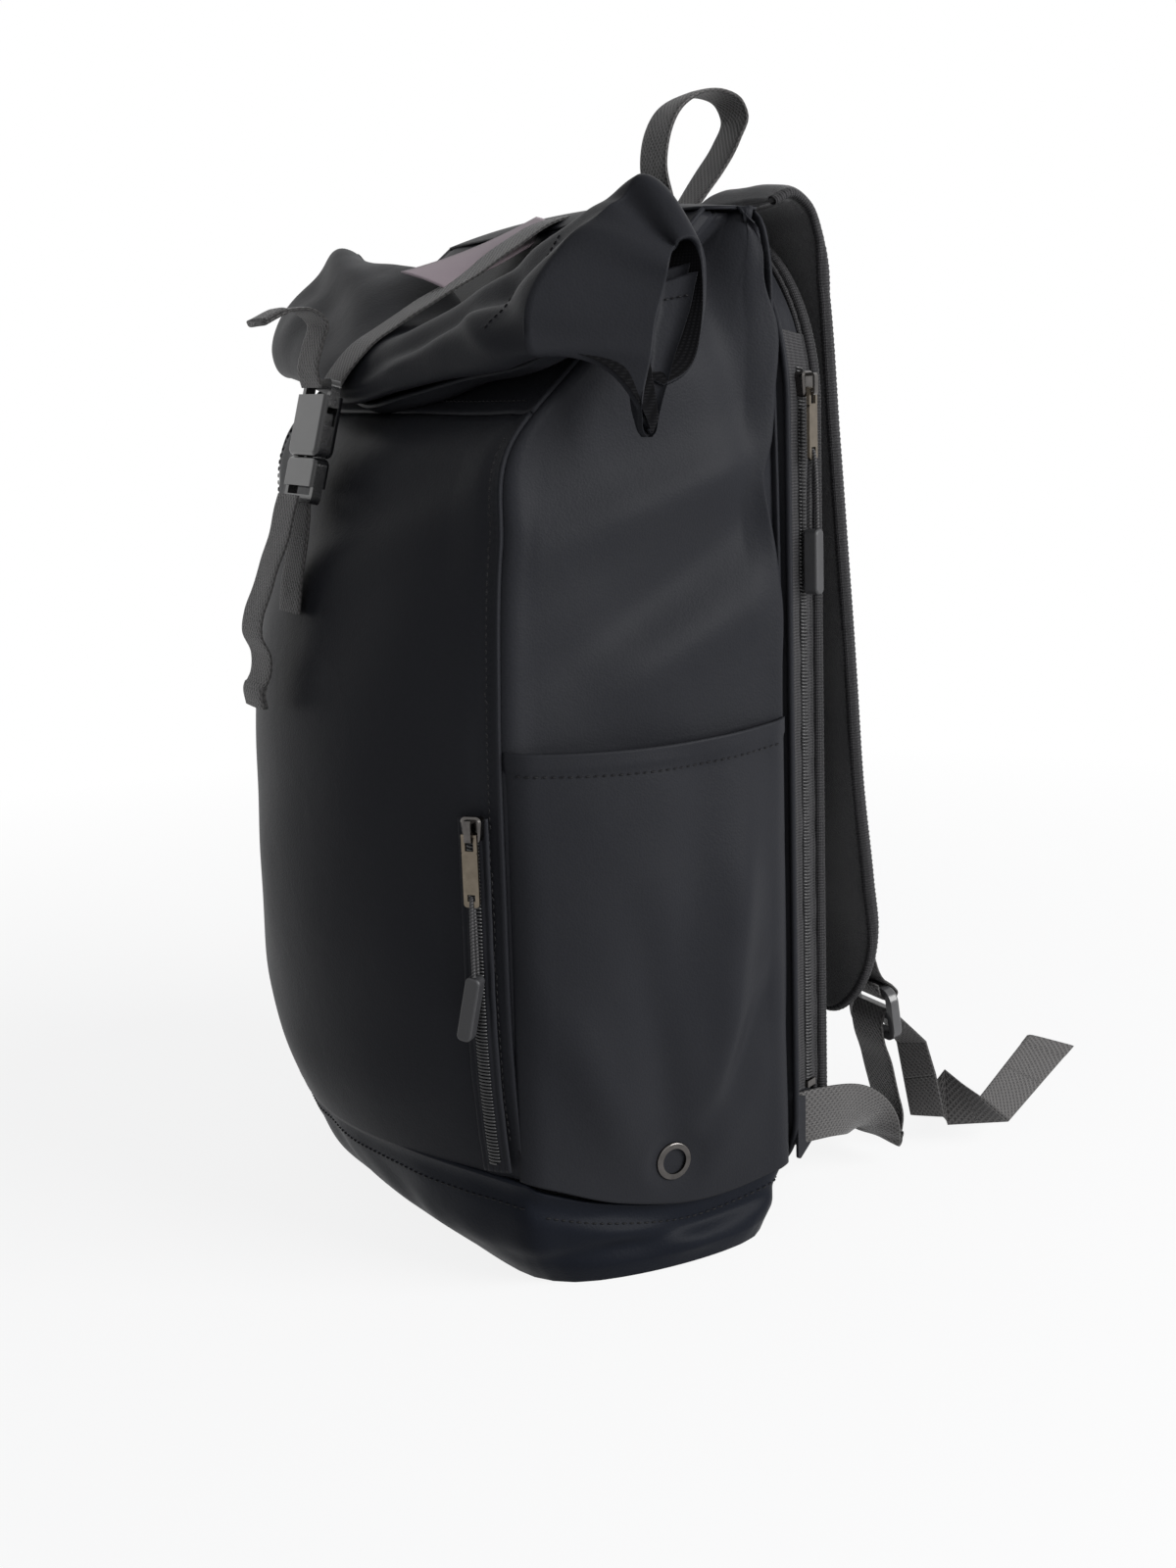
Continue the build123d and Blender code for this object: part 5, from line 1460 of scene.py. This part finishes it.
# %% [markdown]
# ## Woven and knitted parts
# Webbing is a coarse weave of thick flat yarns; air mesh is a knit whose holes stand in
# diagonal rows; the strap's face is a brushed knit. Each reads the piece's own cloth
# coordinates, measured in metres, so yarns keep their size and follow every bend.
#
# %% Webbing, tape, mesh and brushed knit
def webbing(name="webbing", dark=(0.010, 0.010, 0.011), light=(0.085, 0.081, 0.079)):
    """The higher of two slanted sets of ridges, plus a quarter of fine yarn and a little fuzz."""
    f = Finish(name, dark, 0.62, Specular_IOR_Level=0.3, Sheen_Weight=0.12, Sheen_Roughness=0.4)
    turned = f.stretched(f.cloth, (1.0, 1.0, 1.0), (0.0, 0.0, 0.785))
    one, other = f.ridges(turned, 0.0021, "X"), f.ridges(turned, 0.0021, "Y")
    yarn = f.ridges(f.cloth, 0.0011, "Y", 0.3)
    weave = f.node("Math", {"operation": "MAXIMUM"}, {0: one, 1: other * 0.8}) * 0.75 + yarn * 0.25
    fuzz = f.noise(f.place, 1800.0, 2.0)
    colour = f.mixed(weave * 0.8 + fuzz * 0.3, dark, light)
    return f.wear(colour, 0.72 - weave * 0.26, weave + fuzz * 0.2, 0.00045)


def ribbed_tape():
    """Ribs across the tape, with fine yarn along it."""
    f = Finish("ribbed tape", (0.02, 0.02, 0.022), 0.6, Sheen_Weight=0.05, Specular_IOR_Level=0.2)
    ribs = f.ridges(f.cloth, 0.0013, "X", 0.2)
    yarn = f.ridges(f.cloth, 0.0008, "Y")
    weave = ribs * 0.7 + yarn * 0.3
    fuzz = f.noise(f.place, 1500.0, 2.0)
    return f.wear(f.mixed(weave * 0.8 + fuzz * 0.25, (0.005, 0.005, 0.006), (0.034, 0.033, 0.035)),
                  0.76 - weave * 0.2, weave + fuzz * 0.2, 0.0003)


def air_mesh():
    """Rims round the cells of a slanted grid; the middle of each cell is a dark hole."""
    f = Finish("air mesh", (0.03, 0.03, 0.034), 0.6, Sheen_Weight=0.15)
    turned = f.stretched(f.place, (1.0, 1.0, 0.62), (0.0, 0.785, 0.0))
    flat = f.node("VectorMath", {"operation": "MULTIPLY"}, {0: turned, 1: (1.0, 0.0, 1.0)})
    rim = f.ramp(f.cells(flat, 430.0, "F1", 0.0), (0.0, 0.0), (0.34, 0.0), (0.52, 1.0), (1.0, 0.8))
    yarn = f.noise(f.place, 2200.0, 2.0)
    shade = rim * 0.75 + yarn * rim * 0.5
    return f.wear(f.mixed(shade, (0.003, 0.003, 0.0035), (0.075, 0.073, 0.076)), 0.85 - rim * 0.3,
                  rim + yarn * 0.25, 0.0012)


def brushed_knit():
    """Fine pile and broad soft patches added."""
    f = Finish("brushed knit", (0.03, 0.03, 0.033), 0.85, Sheen_Weight=0.35, Sheen_Roughness=0.55)
    pile = f.noise(f.place, 1300.0, 5.0, 1.5)
    patch = f.noise(f.place, 70.0, 3.0)
    return f.wear(f.mixed(pile * 0.6 + patch * 0.5, (0.003, 0.003, 0.004), (0.018, 0.0175, 0.0185)), None,
                  pile + patch * 0.4, 0.0006)


def stitch_thread():
    """Very fine slanted ridges."""
    f = Finish("stitch thread", (0.03, 0.03, 0.032), 0.6, Specular_IOR_Level=0.15)
    twist = f.ridges(f.stretched(f.place, (1.0, 1.0, 1.0), (0.6, 0.5, 0.4)), 0.0005, "X")
    return f.wear(f.mixed(twist, (0.003, 0.003, 0.004), (0.010, 0.010, 0.011)), None, twist, 0.0001)


def twisted_cord():
    """Slanted ridges round the cord."""
    f = Finish("twisted cord", (0.02, 0.02, 0.022), 0.6)
    twist = f.ridges(f.stretched(f.place, (1.0, 1.0, 1.0), (0.0, 0.7, 0.0)), 0.0011, "Z")
    return f.wear(f.mixed(twist, (0.008, 0.008, 0.009), (0.05, 0.048, 0.05)),
                  0.72 - twist * 0.2, twist, 0.0004)


# %% [markdown]
# ## Hard parts
# Cast metal sliders are polished and blackened, their pulls are brushed and a little bronze, the
# buckles are moulded plastic with a fine spark texture, and the grips are soft rubber.
#
# %% Metal, plastic, rubber and card
def dark_metal(name, colour, pale, roughness):
    """Long fine brush marks and small worn spots."""
    f = Finish(name, colour, roughness, Metallic=1.0)
    brushed = f.noise(f.stretched(f.place, (900.0, 900.0, 60.0)), 1.0, 2.0)
    worn = f.noise(f.place, 260.0, 3.0)
    return f.wear(f.mixed(worn, colour, pale), roughness - 0.06 + brushed * 0.14, brushed * 0.3 + worn * 0.4,
                  0.00008, 0.5)


def moulded(name, colour, pale, roughness, spark=2600.0, depth=0.00005):
    """A fine spark texture and broad wear."""
    f = Finish(name, colour, roughness)
    fine = f.noise(f.place, spark, 2.0)
    worn = f.noise(f.place, 120.0, 3.0)
    return f.wear(f.mixed(worn * 0.8, colour, pale), roughness - 0.05 + worn * 0.12, fine, depth, 0.6)


def printed_card():
    """Paper fibre and a slow cloud of tone."""
    f = Finish("tag card", (0.17, 0.14, 0.15), 0.55)
    fibre = f.noise(f.place, 900.0, 4.0)
    cloud = f.noise(f.place, 40.0, 3.0)
    return f.wear(f.mixed(fibre * 0.5 + cloud * 0.5, (0.27, 0.215, 0.24), (0.38, 0.31, 0.34)),
                  0.5 + fibre * 0.15, fibre, 0.0001)


FINISHES = {
    "black_coated_fabric": coated_fabric(),
    "lining_fabric": lining_cloth(),
    "air_mesh": air_mesh(),
    "edge_tape": ribbed_tape(),
    "black_webbing": webbing(),
    "strap_textile": brushed_knit(),
    "zip_coil": moulded("coil plastic", (0.016, 0.016, 0.017), (0.03, 0.03, 0.031), 0.34),
    "dark_metal": dark_metal("blackened metal", (0.05, 0.048, 0.046), (0.14, 0.13, 0.125), 0.2),
    "pull_cord": twisted_cord(),
    "grip_rubber": moulded("grip rubber", (0.014, 0.014, 0.016), (0.03, 0.03, 0.032), 0.52, 900.0, 0.0001),
    "buckle_plastic": moulded("buckle plastic", (0.010, 0.010, 0.011), (0.018, 0.018, 0.02), 0.24),
    "tag_card": printed_card(),
}
bronze = dark_metal("bronzed metal", (0.10, 0.085, 0.065), (0.20, 0.17, 0.135), 0.28)
thread_finish = stitch_thread()
# Painted reflection: the ladder locks are the same black buckle plastic, coloured grey to stand in for the
# bright reflection on their glossy faces.
glint_painted_plastic = moulded("buckle plastic with painted glint", (0.055, 0.055, 0.057), (0.085, 0.085, 0.088), 0.2)
OWN_FINISH = {
    # Painted shade: the base uses the same coated fabric coloured darker and bluer, so its underside, which
    # catches light from the floor, reads shaded.
    "base_cloth": coated_fabric("base fabric with painted shade", (0.0060, 0.0072, 0.0110), (0.0090, 0.0104, 0.0145)),
    "side_zip_pull": bronze, "front_zip_pull": bronze,
    "ladder_lock_right": glint_painted_plastic, "ladder_lock_left": glint_painted_plastic,
}


# %% Give every piece its finish
def dress(obj, material):
    """The object's only material; a CAD node keeps its mesh and gets it through its slots."""
    if not len(obj.material_slots):
        obj.data.materials.append(material)
    for slot in obj.material_slots:
        slot.material = material


slot_of = {row["node"]: row["material_slot"] for row in frame["record"]["subparts"]}
print("slots known for", len(slot_of), "nodes")
for name, obj in nodes.items():
    dress(obj, OWN_FINISH.get(name, FINISHES[slot_of.get(name, "black_coated_fabric")]))
for obj in bpy.context.scene.objects:
    if obj.get("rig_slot"):
        own = thread_finish if "stitches" in obj.name else OWN_FINISH.get(obj.name)
        dress(obj, own or FINISHES[obj["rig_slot"]])
# The roll's inner face takes the backing coloured as painted shade.
roll_cloth.data.materials.append(backing_with_painted_shade())
print("materials:", len(bpy.data.materials))

# %% [markdown]
# ## Floor and light
# A pale studio: one large soft window behind on the right, a weak one in front, and a bright
# surround. What the camera sees of the surround is plain white; the floor mixes some of that
# white with its own shaded grey, so the bag keeps a soft shadow under it.
#
# %% Floor, lamps and world
def seen_directly(tree):
    """One where a ray comes from the camera, a mirror-like surface or clear glass."""
    path = tree.nodes.new("ShaderNodeLightPath")
    total = path.outputs["Is Camera Ray"]
    for label in ("Is Glossy Ray", "Is Transmission Ray"):
        either = tree.nodes.new("ShaderNodeMath")
        either.operation = "MAXIMUM"
        tree.links.new(total, either.inputs[0])
        tree.links.new(path.outputs[label], either.inputs[1])
        total = either.outputs[0]
    return total


floor_mesh = bpy.data.meshes.new("floor")
floor_mesh.from_pydata([(-9, -9, 0), (9, -9, 0), (9, 9, 0), (-9, 9, 0)], [], [(0, 1, 2, 3)])
floor = bpy.data.objects.new("floor", floor_mesh)
bpy.context.collection.objects.link(floor)
paint = bpy.data.materials.new("studio floor")
paint.use_nodes = True
tree = paint.node_tree
matte = tree.nodes["Principled BSDF"]
matte.inputs["Base Color"].default_value = (0.86, 0.86, 0.87, 1.0)
matte.inputs["Roughness"].default_value = 0.9
white = tree.nodes.new("ShaderNodeEmission")
far = tree.nodes.new("ShaderNodeMapRange")      # the floor turns plain white away from the bag
distance = tree.nodes.new("ShaderNodeVectorMath")
distance.operation = "LENGTH"
tree.links.new(tree.nodes.new("ShaderNodeTexCoord").outputs["Object"], distance.inputs[0])
tree.links.new(distance.outputs["Value"], far.inputs["Value"])
for label, value in (("From Min", 0.35), ("From Max", 1.1), ("To Min", 0.86), ("To Max", 1.0)):
    far.inputs[label].default_value = value
share = tree.nodes.new("ShaderNodeMath")
share.operation = "MULTIPLY"
tree.links.new(far.outputs["Result"], share.inputs[1])
tree.links.new(seen_directly(tree), share.inputs[0])
blend = tree.nodes.new("ShaderNodeMixShader")
tree.links.new(share.outputs[0], blend.inputs[0])
tree.links.new(matte.outputs[0], blend.inputs[1])
tree.links.new(white.outputs[0], blend.inputs[2])
tree.links.new(blend.outputs[0], tree.nodes["Material Output"].inputs["Surface"])
floor_mesh.materials.append(paint)


def lamp(name, place, aim, power, size):
    """A square area lamp that points at a place."""
    light = bpy.data.lights.new(name, "AREA")
    light.energy = power
    light.size = size
    obj = bpy.data.objects.new(name, light)
    obj.location = place
    obj.rotation_euler = (Vector(aim) - Vector(place)).to_track_quat("-Z", "Y").to_euler()
    bpy.context.collection.objects.link(obj)
    return obj


lamp("window", (1.55, 1.05, 0.85), (0.1, 0.0, 0.22), 50.0, 1.2)
lamp("room", (1.9, -1.0, 1.3), (0.0, 0.0, 0.25), 4.0, 1.4)
world = bpy.data.worlds.new("studio")
bpy.context.scene.world = world
world.use_nodes = True
tree = world.node_tree
dim = tree.nodes["Background"]
dim.inputs["Color"].default_value = (0.9, 0.93, 1.0, 1.0)
dim.inputs["Strength"].default_value = 0.22
plain = tree.nodes.new("ShaderNodeBackground")
plain.inputs["Color"].default_value = (1.0, 1.0, 1.0, 1.0)
both = tree.nodes.new("ShaderNodeMixShader")
tree.links.new(seen_directly(tree), both.inputs[0])
tree.links.new(dim.outputs[0], both.inputs[1])
tree.links.new(plain.outputs[0], both.inputs[2])
tree.links.new(both.outputs[0], tree.nodes["World Output"].inputs["Surface"])
bpy.context.scene.view_settings.view_transform = "Standard"
